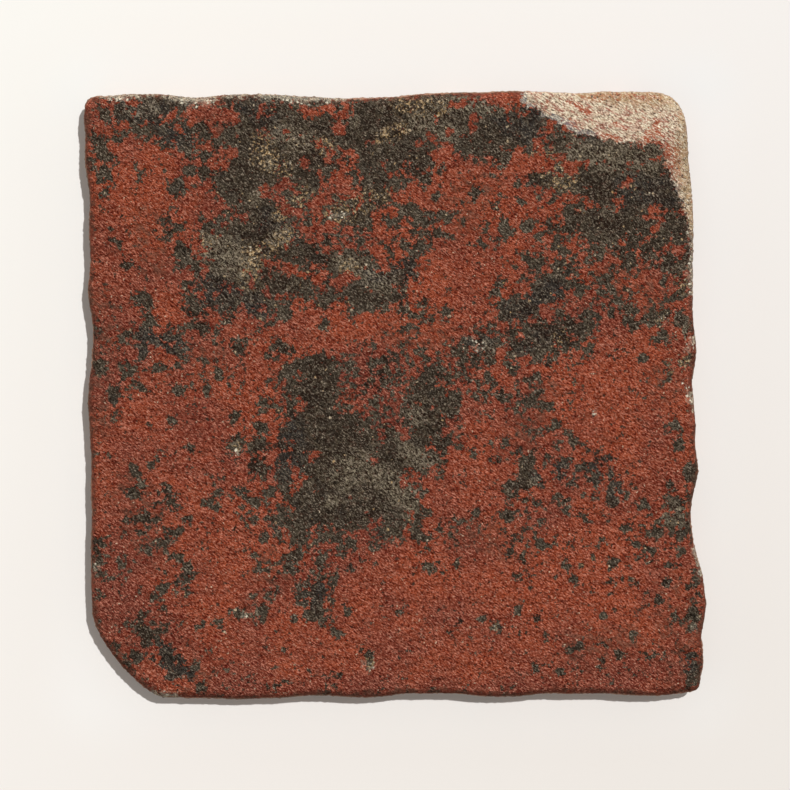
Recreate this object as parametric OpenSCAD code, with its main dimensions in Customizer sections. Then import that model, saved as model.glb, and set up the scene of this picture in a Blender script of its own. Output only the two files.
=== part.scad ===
// Reclaimed terracotta floor tile: one solid slab of fired clay, worn by use.
// The face looks up (+Z), and the underside lies on the plane z = 0, centred on the origin.
// All dimensions are in millimetres.

/* [Slab] */
// Width between the outermost points of the left and right edges
tile_w = 206.2; // [140:0.2:320]
// Length between the outermost points of the lower and upper edges
tile_l = 201.6; // [140:0.2:320]
// Thickness at the unworn part of the face
tile_t = 20; // [14:0.5:40]
// How far the underside is set in from the outline of the face
undercut = 1.4; // [0:0.1:3]

/* [Edges] */
// Radius of the arris between the underside and the edges
lower_arris = 1.6; // [0.8:0.1:3]
// Mean radius of the worn arris between the edges and the face
upper_arris = 2.2; // [1.2:0.1:3.5]
// How much more the arris of the upper edge is worn than the others
upper_edge_wear = 1.2; // [0:0.1:2]
// Height of the small nibbles along the outline
nibble = 0.22; // [0:0.02:0.5]

/* [Corners] */
// Broken lower left corner: its reach along the lower edge
broken_corner_w = 27; // [10:0.5:45]
// Broken lower left corner: its reach along the left edge
broken_corner_l = 29; // [10:0.5:45]
// Reach of the rounded lower right corner along both of its edges
lower_right_reach = 7; // [4:0.5:20]
// Reach of the rounded upper right corner along both of its edges
upper_right_reach = 18; // [8:0.5:25]
// Reach of the tight upper left corner along both of its edges
upper_left_reach = 5; // [4:0.5:20]

/* [Flaked corner] */
// Reach of the flake along the upper edge, from the right side
flake_w = 62; // [30:1:68]
// Reach of the flake along the right edge, from the upper side
flake_l = 62; // [30:1:68]
// Width of the flaked band at the upper edge, where it is widest
flake_band_top = 18; // [8:0.5:20]
// Width of the flaked band at the right edge, where it is widest
flake_band_right = 14.6; // [8:0.2:20]
// How far from the break line the flaked surface takes to reach its full fall
flake_ease = 0.8; // [0.4:0.1:3]
// Fall of the broken surface towards the upper edge, per millimetre
flake_fall_top = 0.4; // [0.1:0.02:0.5]
// Fall of the broken surface towards the right edge, per millimetre
flake_fall_right = 0.42; // [0.1:0.02:0.5]

/* [Face] */
// Depth of the deepest hollow that treading has worn into the face
tread_depth = 0.9; // [0:0.05:2]
// Depth of the pits, as a multiple of the depths in their list
pit_scale = 1; // [0.5:0.05:1.5]

/* [Hidden] */

half_w = tile_w / 2;
half_l = tile_l / 2;

// Wear of each edge, as rows of [place, depth]. The place runs from -1 to 1 along +X or +Y,
// and the depth is measured inwards from the bounding line of that side.
LOWER_EDGE = [
    [-0.75, 0.5], [-0.64, 0.6], [-0.53, 0], [-0.4, 0.5], [-0.22, 1.3], [-0.08, 0.6], [0.05, 2],
    [0.18, 1.9], [0.34, 0.9], [0.5, 1.9], [0.66, 1.9], [0.82, 1.2], [0.92, 2], [0.96, 2.2],
];
RIGHT_EDGE = [
    [-0.94, 2.1], [-0.88, 1], [-0.82, 1.2], [-0.78, 1.9], [-0.74, 1], [-0.69, 0], [-0.63, 0.7],
    [-0.57, 1.8], [-0.52, 3.4], [-0.46, 4.7], [-0.4, 5.2], [-0.34, 4.5], [-0.3, 3.8], [-0.26, 2.7],
    [-0.22, 2.9], [-0.17, 4], [-0.1, 3.6], [-0.02, 4.1], [0.04, 5], [0.08, 4.3], [0.12, 3.3],
    [0.18, 3.8], [0.3, 4.6], [0.44, 4.6], [0.56, 4.2], [0.68, 5], [0.8, 6], [0.9, 6.2],
];
UPPER_EDGE = [
    [-0.96, 1.4], [-0.84, 1], [-0.75, 1.1], [-0.67, 2.1], [-0.61, 1.9], [-0.52, 0.9], [-0.38, 1.2],
    [-0.2, 2], [-0.08, 2.1], [0.02, 1.6], [0.11, 0.6], [0.28, 0.3], [0.42, 0], [0.58, 0.4],
    [0.7, 0], [0.8, 0],
];
LEFT_EDGE = [
    [-0.72, 2.9], [-0.6, 2.5], [-0.35, 2.6], [-0.15, 2.3], [-0.02, 1.5], [0.06, 1.9], [0.14, 3.2],
    [0.19, 3.1], [0.25, 2.8], [0.35, 1.5], [0.44, 2.4], [0.54, 1.8], [0.63, 2.2], [0.71, 1.2],
    [0.8, 0.5], [0.84, 0.8], [0.89, 0], [0.94, 0.5],
];

// The break line of the flake along each of its two sides, as rows of [share of the reach, share
// of the band's width]
FLAKE_TOP = [[0, 1], [0.35, 0.97], [0.53, 0.9], [0.69, 0.77], [0.84, 0.53], [0.92, 0.31], [1, 0]];
FLAKE_RIGHT = [[0, 1], [0.39, 0.93], [0.5, 0.75], [0.61, 0.55], [0.74, 0.38], [0.87, 0.29], [1, 0]];

// Small waves of the outline, as [degrees per millimetre, shift from one side to the next]
NIBBLES = [[61, 90], [23, 200]];

// Waver of the upper arris round the outline, as [waves, start angle, share of its radius]
ARRIS_WAVES = [[7, 30, 0.18], [17, 0, 0.12]];

// The extra wear of the upper edge lies within this distance of its line, and ends at this share
// of half the width, where the flake begins
UPPER_WEAR_BAND = 4;
UPPER_WEAR_END = 0.4;

// Hollows worn into the face: [x, y, radius across x, radius across y, share of tread_depth].
// The places are shares of half the width and half the length.
HOLLOWS = [
    [-0.2, -0.22, 34, 26, 1], [-0.46, 0.46, 26, 24, 0.8], [0.02, 0.86, 44, 12, 0.6],
    [0.72, 0.66, 24, 24, 0.7], [0.5, 0.24, 20, 14, 0.6], [-0.76, -0.86, 14, 10, 0.9],
    [0.12, 0.06, 24, 12, 0.4], [0.84, -0.44, 18, 14, 0.5], [-0.92, 0.2, 10, 34, 0.5],
];

// Pits where grit and lime have fallen out: [x, y, radius at the face, depth]
PITS = [
    [-0.5, -0.175, 2.2, 1], [-0.53, -0.08, 1.5, 0.6], [-0.48, -0.71, 2.6, 0.9],
    [-0.43, -0.7, 2, 0.7], [-0.72, -0.62, 2.2, 0.7], [-0.1, -0.88, 3.2, 0.8],
    [0.27, 0.17, 2.6, 0.9], [0.36, -0.4, 1.9, 0.6], [0.47, -0.47, 2, 0.7],
    [0.79, -0.48, 2.4, 0.7], [0.93, -0.86, 3, 1.2], [0.95, -0.73, 2.6, 1],
    [-0.72, -0.88, 3.4, 0.9], [-0.74, 0.56, 2, 0.6], [-0.68, 0.46, 2.2, 0.7],
    [0.86, 0.26, 2, 0.7], [-0.95, -0.52, 2.4, 0.8], [0.42, -0.26, 2.6, 0.6],
];

// How finely the slab is drawn: stretches along a side, along a corner, round an arris and from
// the edge to the middle of the face, where a power above 1 draws the rings closer at the edge
SIDE_STEPS = 36;
CORNER_STEPS = 12;
ARRIS_STEPS = 3;
SIDE_LEVELS = [0, 0.5, 1];
FACE_STEPS = 14;
FACE_POWER = 1.8;

// Sum of a list of numbers
function add(list) = list * [for (item = list) 1];

// Slope at a row of a list, for a smooth curve through its rows
function slope(rows, i) =
    i == 0 || i == len(rows) - 1 ? 0
    : (rows[i + 1][1] - rows[i - 1][1]) / (rows[i + 1][0] - rows[i - 1][0]);

// Index of the stretch of a list that holds x
function stretch(rows, x, i = 0) =
    i >= len(rows) - 2 || x < rows[i + 1][0] ? i : stretch(rows, x, i + 1);

// Value at x of a smooth curve through the rows, level past both ends
function curve(rows, x) =
    let (
        i = stretch(rows, x),
        a = rows[i],
        b = rows[i + 1],
        w = b[0] - a[0],
        t = min(1, max(0, (x - a[0]) / w)),
        s = t * t * (3 - 2 * t)
    )
    a[1] * (1 - s) + b[1] * s
        + w * t * (1 - t) * (slope(rows, i) * (1 - t) - slope(rows, i + 1) * t);

// The four sides, anticlockwise from the lower one: [middle, direction, half length, wear, sign
// that turns a place along the direction into a place in the wear list]
SIDES = [
    [[0, -half_l], [1, 0], half_w, LOWER_EDGE, 1],
    [[half_w, 0], [0, 1], half_l, RIGHT_EDGE, 1],
    [[0, half_l], [-1, 0], half_w, UPPER_EDGE, -1],
    [[-half_w, 0], [0, -1], half_l, LEFT_EDGE, -1],
];

// The corner at the end of each side: [reach along this side, along the next, fullness], where a
// fullness of 0.55 is a round corner and 0 is a straight cut
CORNERS = [
    [lower_right_reach, lower_right_reach, 0.7],
    [upper_right_reach, upper_right_reach, 0.7],
    [upper_left_reach, upper_left_reach, 0.55],
    [broken_corner_l, broken_corner_w, 0.3],
];

// Distances from the middle of a side at which its points lie, between its two corners
function side_places(i) =
    let (from = CORNERS[(i + 3) % 4][1] - SIDES[i][2], to = SIDES[i][2] - CORNERS[i][0])
    [for (k = [0:SIDE_STEPS]) from + (to - from) * k / SIDE_STEPS];

// Wear of a side at a distance s from its middle, with its small nibbles
function side_wear(i, s) =
    let (side = SIDES[i])
    curve(side[3], side[4] * s / side[2])
        + nibble * add([for (n = NIBBLES) sin(n[0] * s + n[1] * i)]) / len(NIBBLES);

// The least wear of each side, which is taken off so that its outermost point is on its line
LEAST_WEAR = [for (i = [0:3]) min([for (s = side_places(i)) side_wear(i, s)])];

// Points along a side, both ends included
function side_points(i) =
    let (run = SIDES[i][1], inward = [-run[1], run[0]])
    [for (s = side_places(i)) SIDES[i][0] + run * s + inward * (side_wear(i, s) - LEAST_WEAR[i])];

// Points of the corner between two sides, both ends left out
function corner_points(i) =
    let (
        a = side_points(i)[SIDE_STEPS],
        b = side_points((i + 1) % 4)[0],
        run = SIDES[i][1],
        sharp = a + run * ((b - a) * run),
        full = CORNERS[i][2],
        p = a + (sharp - a) * full,
        q = b + (sharp - b) * full
    )
    [for (k = [1:CORNER_STEPS - 1])
        let (t = k / CORNER_STEPS, u = 1 - t)
        a * u ^ 3 + p * 3 * u * u * t + q * 3 * u * t * t + b * t ^ 3];

// Outline of the face, seen from above
OUTLINE = [for (i = [0:3]) each concat(side_points(i), corner_points(i))];
COUNT = len(OUTLINE);

// Wear of the face at a point: the hollows, and the flake off the upper right corner
function hollow_depth(p) =
    tread_depth * max([for (h = HOLLOWS)
        let (x = (p[0] - h[0] * half_w) / h[2], y = (p[1] - h[1] * half_l) / h[3])
        h[4] * exp(-x * x - y * y)]);

function flake_depth(p) =
    let (
        u = half_w - p[0],
        v = half_l - p[1],
        into_top = flake_band_top * curve(FLAKE_TOP, u / flake_w) - v,
        into_right = flake_band_right * curve(FLAKE_RIGHT, v / flake_l) - u,
        fall = max(flake_fall_top * into_top, flake_fall_right * into_right)
    )
    fall <= 0 ? 0 : fall * fall / (fall + flake_ease);

function face_z(p) = tile_t - hollow_depth(p) - flake_depth(p);

// Radius of the upper arris at a point of the outline, worn more along the upper edge
function arris(i) =
    let (p = OUTLINE[i], a = 360 * i / COUNT)
    upper_arris * (1 + add([for (w = ARRIS_WAVES) w[2] * sin(w[0] * a + w[1])]))
        + (p[1] > half_l - UPPER_WEAR_BAND && p[0] < half_w * UPPER_WEAR_END ? upper_edge_wear : 0);

// A point of the outline, moved a distance in towards the middle
REACH = min(half_w, half_l);
function inset(i, d) = OUTLINE[i] * (1 - d / REACH);

// Rings of the slab from the underside up to the middle of the face
function lower_ring(k) =
    let (a = 90 * k / ARRIS_STEPS)
    [for (i = [0:COUNT - 1])
        let (p = inset(i, undercut + lower_arris * (1 - sin(a))))
        [p[0], p[1], lower_arris * (1 - cos(a))]];

function side_ring(level) =
    [for (i = [0:COUNT - 1])
        let (
            p = inset(i, undercut * (1 - level)),
            top = face_z(OUTLINE[i]) - arris(i)
        )
        [p[0], p[1], lower_arris + (top - lower_arris) * level]];

function upper_ring(k) =
    let (a = 90 * k / ARRIS_STEPS)
    [for (i = [0:COUNT - 1])
        let (p = inset(i, arris(i) * (1 - cos(a))))
        [p[0], p[1], face_z(p) - arris(i) * (1 - sin(a))]];

function face_ring(k) =
    let (share = (k / FACE_STEPS) ^ FACE_POWER)
    [for (i = [0:COUNT - 1])
        let (p = inset(i, arris(i) + (REACH - arris(i)) * share))
        [p[0], p[1], face_z(p)]];

RINGS = concat(
    [for (k = [0:ARRIS_STEPS - 1]) lower_ring(k)],
    [for (level = SIDE_LEVELS) side_ring(level)],
    [for (k = [1:ARRIS_STEPS]) upper_ring(k)],
    [for (k = [1:FACE_STEPS - 1]) face_ring(k)]
);

// The slab as one closed skin: the rings, closed by a fan at the underside and one at the face
module slab() {
    last = len(RINGS) - 1;
    base = (last + 1) * COUNT;
    points = concat([for (ring = RINGS) each ring], [[0, 0, 0], [0, 0, face_z([0, 0])]]);
    strips = [
        for (r = [0:last - 1], i = [0:COUNT - 1])
            let (j = (i + 1) % COUNT, a = r * COUNT, b = a + COUNT)
            each [[a + i, b + i, b + j], [a + i, b + j, a + j]]
    ];
    fans = [
        for (i = [0:COUNT - 1])
            let (j = (i + 1) % COUNT, a = last * COUNT)
            each [[base, i, j], [base + 1, a + j, a + i]]
    ];
    polyhedron(points = points, faces = concat(strips, fans), convexity = 4);
}

// The pits, as shallow caps of spheres
module pits() {
    for (pit = PITS) {
        p = [pit[0] * half_w, pit[1] * half_l];
        depth = pit[3] * pit_scale;
        r = (pit[2] ^ 2 + depth ^ 2) / (2 * depth);
        translate([p[0], p[1], face_z(p) + r - depth]) sphere(r = r, $fn = 48);
    }
}

module tile() {
    color([0.56, 0.24, 0.18])
        difference() {
            slab();
            pits();
        }
}

tile();
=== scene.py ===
"""Dresses the reclaimed terracotta floor tile: its worn red skin, broken corners and plain underside."""

import sys
import logging
import math
from dataclasses import dataclass, field
from enum import Enum
from typing import ClassVar

import bmesh
import bpy
import numpy as np
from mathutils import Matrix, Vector


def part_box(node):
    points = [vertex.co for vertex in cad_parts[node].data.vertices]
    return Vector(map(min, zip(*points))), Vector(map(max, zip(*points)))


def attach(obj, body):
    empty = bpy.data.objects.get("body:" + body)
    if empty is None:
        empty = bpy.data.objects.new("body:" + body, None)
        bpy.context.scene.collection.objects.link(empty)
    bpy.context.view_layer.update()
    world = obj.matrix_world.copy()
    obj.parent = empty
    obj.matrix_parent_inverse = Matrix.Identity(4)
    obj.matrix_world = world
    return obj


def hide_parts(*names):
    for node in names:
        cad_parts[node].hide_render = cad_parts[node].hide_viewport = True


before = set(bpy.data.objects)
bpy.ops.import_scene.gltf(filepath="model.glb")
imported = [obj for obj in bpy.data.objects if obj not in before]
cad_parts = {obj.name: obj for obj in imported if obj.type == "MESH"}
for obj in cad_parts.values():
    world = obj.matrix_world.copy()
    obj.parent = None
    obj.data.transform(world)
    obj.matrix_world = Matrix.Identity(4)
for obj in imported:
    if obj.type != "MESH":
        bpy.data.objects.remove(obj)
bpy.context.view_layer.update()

LOG = logging.getLogger("tile")
MM = 0.001
TINY = 1e-9
FAR_OUT = 99.0

Chain = tuple[tuple[float, float, float], ...]
Colour = tuple[float, float, float]
Offset = tuple[float, float, float]
Span = tuple[float, float]
Ramp = tuple[float, float, float, float]
Socket = bpy.types.NodeSocket
Sockets = bpy.types.bpy_prop_collection
Value = Socket | bpy.types.ID | float | bool | str | tuple[float, ...]


class Wear(Enum):
    """Kinds of wear that the map of the face holds, each with the name of its attribute."""

    BARE = "bare"
    KHAKI = "khaki"
    SOOT = "soot"
    OCHRE = "ochre"
    CREAM = "cream"
    BROWN = "brown"
    RUBBED = "rubbed"
    TONE = "tone"
    FLAKE = "flake"
    EDGE = "edge"
    LEAN = "lean"


# The worn places of the face: chains of (x, y, radius) in millimetres from the middle of the tile.
# Where the skin is gone in large masses
BARE_MASSES = (
    ((-46, 95, 7), (-30, 91, 9), (-14, 90, 9), (0, 90, 10), (11, 91, 7), (22, 89, 6), (35, 87, 7.5),
     (46, 90, 5.5)),
    ((6, 96, 4), (14, 95.5, 4.5), (22, 93, 4), (26, 94, 2.5)),
    ((16, 86, 3.5), (22, 83.5, 3.5), (34, 82, 4)),
    ((-50, 86, 8), (-53, 78, 8), (-42, 80, 10), (-32, 82, 8)), ((-51, 73, 10.5), (-42, 74, 7)),
    ((-36, 76, 6), (-30, 73, 5), (-28, 69, 4.5)), ((-28, 80, 4.5), (-25.5, 74, 5.2), (-25, 71, 3.6)),
    ((-47, 66, 6), (-46, 60, 7.5)), ((-62, 55, 2.5), (-62, 50, 2.5)), ((-50, 53, 10), (-40, 54, 7.5)),
    ((-54, 46, 10),), ((-57, 39, 11), (-58, 34.5, 8)), ((-45, 34, 6.5), (-36, 36, 5.2), (-28, 37, 4)),
    ((-40, 48, 5), (-30, 46.5, 5.5), (-21, 46, 6), (-12, 41, 6), (-4, 38, 5.8), (2, 41, 3.4), (6, 45, 2.8),
     (8, 50, 2.2)),
    ((44, 88, 6), (54, 83, 4.8), (62, 81, 5)), ((57, 76, 2.5),), ((66, 80, 6), (78, 78, 6), (85, 79, 5)),
    ((45, 71, 1.8), (52, 70, 3.2), (58, 72, 4.5), (66, 72, 8), (78, 67, 10), (88, 67, 8.5), (94, 68, 5)),
    ((84, 74, 7), (92, 76, 4)),
    ((56, 54, 4.5), (62, 57, 7), (70, 57, 7.5), (80, 56, 7.5), (92, 56, 5.5), (96, 52, 3.5)),
    ((36, 26, 4.2), (42, 29, 6.4), (48, 34, 6.5), (54, 37, 4.6)), ((58, 42, 2.5), (52, 43, 2.5)),
    ((40, 17, 5), (41, 21, 5.5), (48, 18, 6.2), (56, 20, 6), (62, 22, 3.5)),
    ((-27, 5, 9.5), (-27, -3, 9.5)), ((-35, 7, 4.5), (-34, 0, 3.5)), ((-16, -4, 5),),
    ((-26, -12, 12), (-14, -17, 9.5), (-5, -20, 8), (7, -14, 8), (12, -7, 7.8), (13, 3, 8.2)),
    ((16, -16, 4.5),),
    ((-30, -25, 10.5), (-20, -26, 12), (-8, -27, 11), (1, -23, 6), (9, -20, 6), (14, -21, 2)),
    ((-26, -38, 11), (-12, -36, 10.5), (0, -36, 8.5), (3, -43, 5)), ((-30, -45, 6), (-20, -45, 5)),
    ((-12, 83, 4), (-8, 80, 6), (-1, 78.5, 5.5), (7, 79, 5), (10, 80, 3.6)), ((4, 74, 4.2),),
    ((-24, 34, 3.2), (-16, 34, 5.2), (-9, 32, 5), (-2, 34, 5)),
    ((-4, 71, 6), (-7, 65, 5.5), (-11, 59, 4.2), (-12, 53.5, 2.8)),
)

# Where it is gone in small places, row by row from the upper left
BARE_SPOTS = (
    # upper left
    ((-96, 98.5, 1.8), (-92, 98, 1.8)), ((-97, 94, 2), (-95, 91, 1.5)),
    ((-91, 94.5, 3), (-86, 92.5, 5), (-80, 94, 4.8), (-74, 97, 3)), ((-74, 97, 2.5), (-69, 96, 2)),
    ((-86, 87.5, 2), (-81, 87.5, 3.2)), ((-75, 87, 4), (-71, 86, 4.2)), ((-90, 87, 1.4),),
    ((-78, 83.5, 1.3),), ((-68.5, 81, 1.4),), ((-64, 88, 2.4), (-63.5, 84, 3), (-63.5, 78, 3.2)),
    ((-67, 74, 1.4),), ((-66, 77, 1.6), (-62, 73, 2)), ((-58, 98, 2), (-52, 98, 2)), ((-68, 78.5, 1.3),),
    ((-98, 84, 2.2), (-97.5, 78, 3.2), (-95, 72.5, 2.8)), ((-92, 76, 1.2),), ((-91.5, 84.5, 1.6),),
    ((-74.5, 67.5, 1.5), (-71, 68, 2)), ((-96, 66.5, 1.3),), ((-97, 62, 1),),
    ((-76, 57.5, 1.8), (-75, 53, 1.8), (-71, 56, 1.5)), ((-66, 54.5, 1),), ((-60, 52, 2.2), (-57, 56, 3)),
    ((-71, 50, 2), (-69.5, 46.5, 2)), ((-91.5, 50, 1.2),), ((-88.5, 43, 1.2),), ((-10, 75, 3.5),),
    ((-5, 70, 5),), ((-22, 60, 3.2), (-17, 61, 4), (-13, 61, 2.4)), ((-26, 57.5, 1.8),), ((-2, 65, 4),),
    ((3, 69, 1.8), (8, 69, 1.6)), ((5, 73, 2), (10, 71.5, 1.6)),
    ((0, 63, 2.6), (5, 60.5, 4), (10, 57.5, 4.2), (16, 58.5, 2.4)), ((13, 54.5, 1.5),), ((10, 53, 2.2),),
    ((4, 51, 2.8),), ((-27, 55.5, 1.8),), ((-2.5, 58.5, 1.4),), ((-27, 43, 3), (-24, 41, 2)),
    # left middle
    ((-84.5, 32, 2.2), (-83, 29.5, 2.2)), ((-82, 25, 1.6),),
    ((-88.5, 20, 2.6), (-84, 20.5, 3.8), (-83.5, 16, 2.2), (-83.5, 13, 1.8)),
    ((-76, 20, 1.6), (-72.5, 18.5, 3.4), (-71.5, 15, 3.2), (-71, 11.5, 2)), ((-79, 17, 1.6),),
    ((-69, 36, 1.6), (-67, 31, 2.4), (-66, 26, 2)), ((-70, 43, 1.4),), ((-67, 23, 1.2),),
    ((-64, 22, 1.8), (-63, 27, 1.4)), ((-98.5, 21, 1.8),), ((-99, 9, 2.5),),
    ((-93, 1.5, 1.6), (-92.5, -1, 1.6)), ((-90, 6, 1.2),), ((-91.5, -6.5, 1.5),), ((-78.5, 9, 1.6),),
    ((-72, 1.5, 1.5),), ((-84.5, 3, 1.8), (-82, 1.5, 1.4)), ((-87, 8, 1.6),), ((-88, 1, 1.4),),
    ((-74, -8.5, 1.4),), ((-62.5, 1.3, 1.3),), ((-63.5, 7, 1.2),), ((-62.5, 10.5, 1.2),),
    ((-58.5, 9, 1), (-58, 6, 1)), ((-51.5, 14.5, 1.6),), ((-37.5, 16, 2),), ((-54, 28, 1.8),),
    ((-45, 27, 2.2),), ((-42, 23, 1.4),), ((-37, 27, 1.9),), ((-54, -8.5, 1.7),),
    ((-52.5, -17.5, 2.8), (-51.5, -14, 1.2)), ((-67, -17.5, 1.3),), ((-44, -2.5, 1.5), (-41, -3, 1.5)),
    ((-43.5, -11.5, 1.9),), ((-44.5, -16.5, 2.7), (-47, -19, 1.6)), ((-43, -25, 1.9),), ((-47, -23, 1.3),),
    ((-86.5, -24.5, 1.5), (-84.5, -27.5, 1.2)), ((-80, -22.5, 1.3),), ((-51, -31, 1.4),),
    ((-58.5, -32, 1),), ((-75, -33, 1.8),), ((-79, -36, 1.4),), ((-72, -38, 1.3),), ((-86.5, -32.5, 1.8),),
    # lower left
    ((-62.5, -35.5, 1.5), (-60, -37.5, 1.4)), ((-49, -34.5, 1.2), (-45, -35.5, 1.2)),
    ((-40.5, -31.5, 1.8),), ((-37, -38.5, 2.3),), ((-33, -43, 2.4), (-36, -41, 2)), ((-88.5, -41.5, 1.3),),
    ((-83, -41, 1.8), (-79, -41, 1.2)), ((-84.5, -45, 1.2),),
    ((-76.5, -48.5, 1.5), (-73.5, -45.5, 1.3), (-71, -45, 1.1)), ((-68, -41.5, 1.2),), ((-71.8, -53, 1.5),),
    ((-80.5, -52.5, 1.2),), ((-87, -59, 1.2),), ((-98, -50.5, 2.8), (-98, -55, 2.6)), ((-96, -60, 1.5),),
    ((-97.5, -66, 1.4),), ((-75.5, -64.5, 2.4), (-71.5, -62.5, 2.6)), ((-80, -67, 1.4),),
    ((-76.5, -71, 1.2),), ((-69, -57.5, 1.3),), ((-59, -75, 1.2),), ((-71, -76, 1.2),),
    ((-52, -72.5, 1.8), (-48, -72.5, 2.2), (-44, -71, 1.8), (-43.5, -74.5, 1)), ((-47, -67, 1.2),),
    ((-42, -66, 1.4),), ((-87, -76, 1.5),), ((-85, -77, 2), (-81.5, -79.5, 3.2), (-79, -78, 2.6)),
    ((-82, -83, 2),), ((-78, -82, 1.2),),
    ((-77, -85, 1.6), (-74, -89, 3), (-71, -91, 3), (-67.5, -91.5, 2)), ((-64, -97, 1.4),),
    ((-46.5, -41.5, 1.5),), ((-49.5, -43, 1.2),), ((-44, -48, 1.6),), ((-41.5, -41, 1.4),),
    ((-43.5, -45, 1),), ((-40, -51, 1.3),), ((-45, -57, 1.3),), ((-38.5, -58.5, 1),), ((-32.5, -53, 1.6),),
    ((-36, -55, 1.6), (-33, -57.5, 1.4)), ((-24.5, -53, 1.4),), ((-33, -74, 1.2),),
    ((-24, -61.5, 3.4), (-26, -66, 4.6), (-27, -71, 3.2), (-25, -74, 1.8), (-21, -77, 1.6),
     (-18.5, -79, 1.4)),
    # middle and right
    ((-23.5, 24, 1.7),), ((-6, 2, 2.5), (-3, 8, 2.5)), ((-17, 4, 2.2),), ((3, 7, 2.2),), ((8.5, 27, 3),),
    ((2, 28, 1.7),), ((6.5, 22, 1.5),), ((7, 14, 1.5),), ((2, 16.5, 1.3),), ((17, 28, 1.5),),
    ((3, 21, 1.5),), ((-7.5, 14, 1),), ((-8, 11, 1.5), (-4, 11, 1.5)), ((30, 50.5, 2),), ((22, 58.5, 1.3),),
    ((22, 97, 2.2), (28, 94, 2)), ((12, 74, 1.5),), ((14, 66, 1.5),), ((26, 67, 1.5),), ((36.5, 54, 2),),
    ((44, 56, 1.8),), ((47.5, 52.5, 1.2),), ((42, 63.5, 1.2),), ((34, 61.5, 1.2),), ((41, 70, 1.2),),
    ((43, 45.5, 1.5), (46, 43, 1.5), (50, 44, 1.5)), ((52, 49, 1.5), (56, 47, 1.5)), ((68, 45, 1.3),),
    ((72, 43, 1.3),), ((65, 40, 1.5),), ((63, 36, 1.8), (60, 33, 1.5)), ((33, 34, 1.6), (34, 38, 1.4)),
    ((69, 39, 1.5), (71, 36, 1.5), (67, 32, 2.5)), ((36, 38, 1.6),), ((88, 37, 1.5),),
    ((72, 34, 1.5), (74, 31, 1), (77, 28, 2.5), (79, 23.5, 2)), ((71.5, 27.5, 1.4),),
    ((84.5, 24.5, 1.5), (88.5, 26, 2.5)), ((88, 20, 1.3), (86, 16, 1.3)), ((82.5, 12.5, 1.4),),
    ((94.5, 11, 1), (98, 12.5, 1.3)), ((94, 26, 2), (97, 22, 2)), ((96, 36, 2.2), (93, 33, 1.6)),
    ((86, 27, 1.5),), ((90.5, 7, 1.5),), ((62.5, 13.5, 1.5), (65, 16, 1.2)), ((52, 14, 2.2), (57, 15, 1.8)),
    ((22, 14, 2), (24, 18, 1.6)), ((59, 26, 3), (63, 27, 2)), ((89, 43.5, 1.9), (95, 44, 3.5)),
    ((38.5, 8, 1.4),), ((31, 6, 1.4),), ((43.5, 5.5, 1.2),),
    ((48, 1, 1.1), (44.5, -2.5, 2.5), (41, -3, 1.5)), ((51.5, -4.5, 1.3),),
    ((49.5, -11.5, 1.5), (53, -10.5, 1.2)), ((52.5, -16.5, 1.8),), ((57, -13, 1.4), (59, -16, 1.3)),
    ((36.5, -16.5, 1.2),), ((41.5, -18, 1.2), (39.8, -19.5, 1.2)), ((35, -21.5, 1.3),),
    ((44, -22, 2.4), (43.5, -26, 3.6), (42, -30, 3.2), (39, -33, 2.6)), ((47.5, -36, 1.4),),
    ((53, -34, 1.3),), ((57, -38.5, 1.2),), ((47, -29.5, 1.5),), ((56, -22.5, 2.2), (54.5, -26, 2)),
    ((49, -24, 1.3),), ((50, -20, 1.2),),
    ((59, -25, 1.8), (63, -24.5, 2.4), (66.5, -24, 3.4), (67, -21.5, 2.2), (71, -21, 1.8)),
    ((66.5, -29, 1.8),), ((62, -20, 1.4),), ((62, -27, 1.6), (67, -28, 1.5)), ((58, -29, 1.2),),
    ((72.5, -28, 2), (72, -32, 2.2), (71, -36, 1.3)), ((92.5, -9.5, 1.5),), ((93, -17, 1.8),),
    ((97.5, -25.5, 2.5),), ((76.5, -33.5, 1.2),), ((83, -36, 1.4),), ((87, -45.5, 1.8),), ((82, -43, 1.6),),
    ((76, -44, 1.3),), ((92, -34.5, 3.4), (94, -40, 4), (90, -43, 3.4), (96, -44, 3.8)),
    ((24, 18, 1.5), (29, 17, 4.5), (33, 19, 2.5), (27, 12.5, 2.5)),
    # lower right
    ((37, -40.5, 1.8), (35.5, -41.5, 1.5)), ((39.5, -47, 1.3),), ((36, -45, 1.7),), ((48, -42, 1),),
    ((38, -52.5, 1.2),), ((48.5, -49, 1.6),), ((42.5, -55, 1.4),), ((56, -56, 1.4),), ((62, -56.5, 1.2),),
    ((65.5, -53.5, 1),), ((59, -61.5, 1.5),), ((58, -84.5, 1.4), (61, -83.5, 1)), ((46, -90, 1.2),),
    ((55, -92, 1.1),), ((87, -68, 1.3),), ((90, -62, 1.1),), ((95, -52, 1.2),), ((45, -64, 1.1),),
    ((40, -60, 1.1),), ((78, -80, 1.1),), ((50, -80, 1),), ((69, -73, 1),), ((90, -56, 1),),
    ((72, -55, 1.5),), ((79.5, -48.5, 2.2), (82, -49.5, 1.2), (85, -51.5, 0.9)), ((62.8, -40, 1.4),),
    ((56.5, -35.5, 1.2),), ((71.3, -41, 1.1),), ((18.5, -44, 1.3), (18.5, -48, 1.3)), ((27, -39, 1.2),),
    ((11, -39, 1.1),), ((-6, -47, 2), (-2, -44, 2)), ((6, -44, 1.8), (8, -48, 1.3)), ((10.5, -57, 1.5),),
    ((-15, -57.5, 1.3),), ((20.5, -55.5, 1),), ((-15.5, -71.5, 1.5),), ((0, -73, 1.7),), ((29, -74, 1.2),),
    ((27.5, -78, 1),), ((33, -77, 1.5),), ((-8, -86, 1.2), (-8.5, -91, 1.1)), ((-18, -92.5, 1.2),),
    ((41, -70.5, 1.2),), ((47, -74, 1.2),), ((74, -86.5, 1.3),), ((83.5, -65, 1.3),), ((91.5, -73, 1),),
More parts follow.
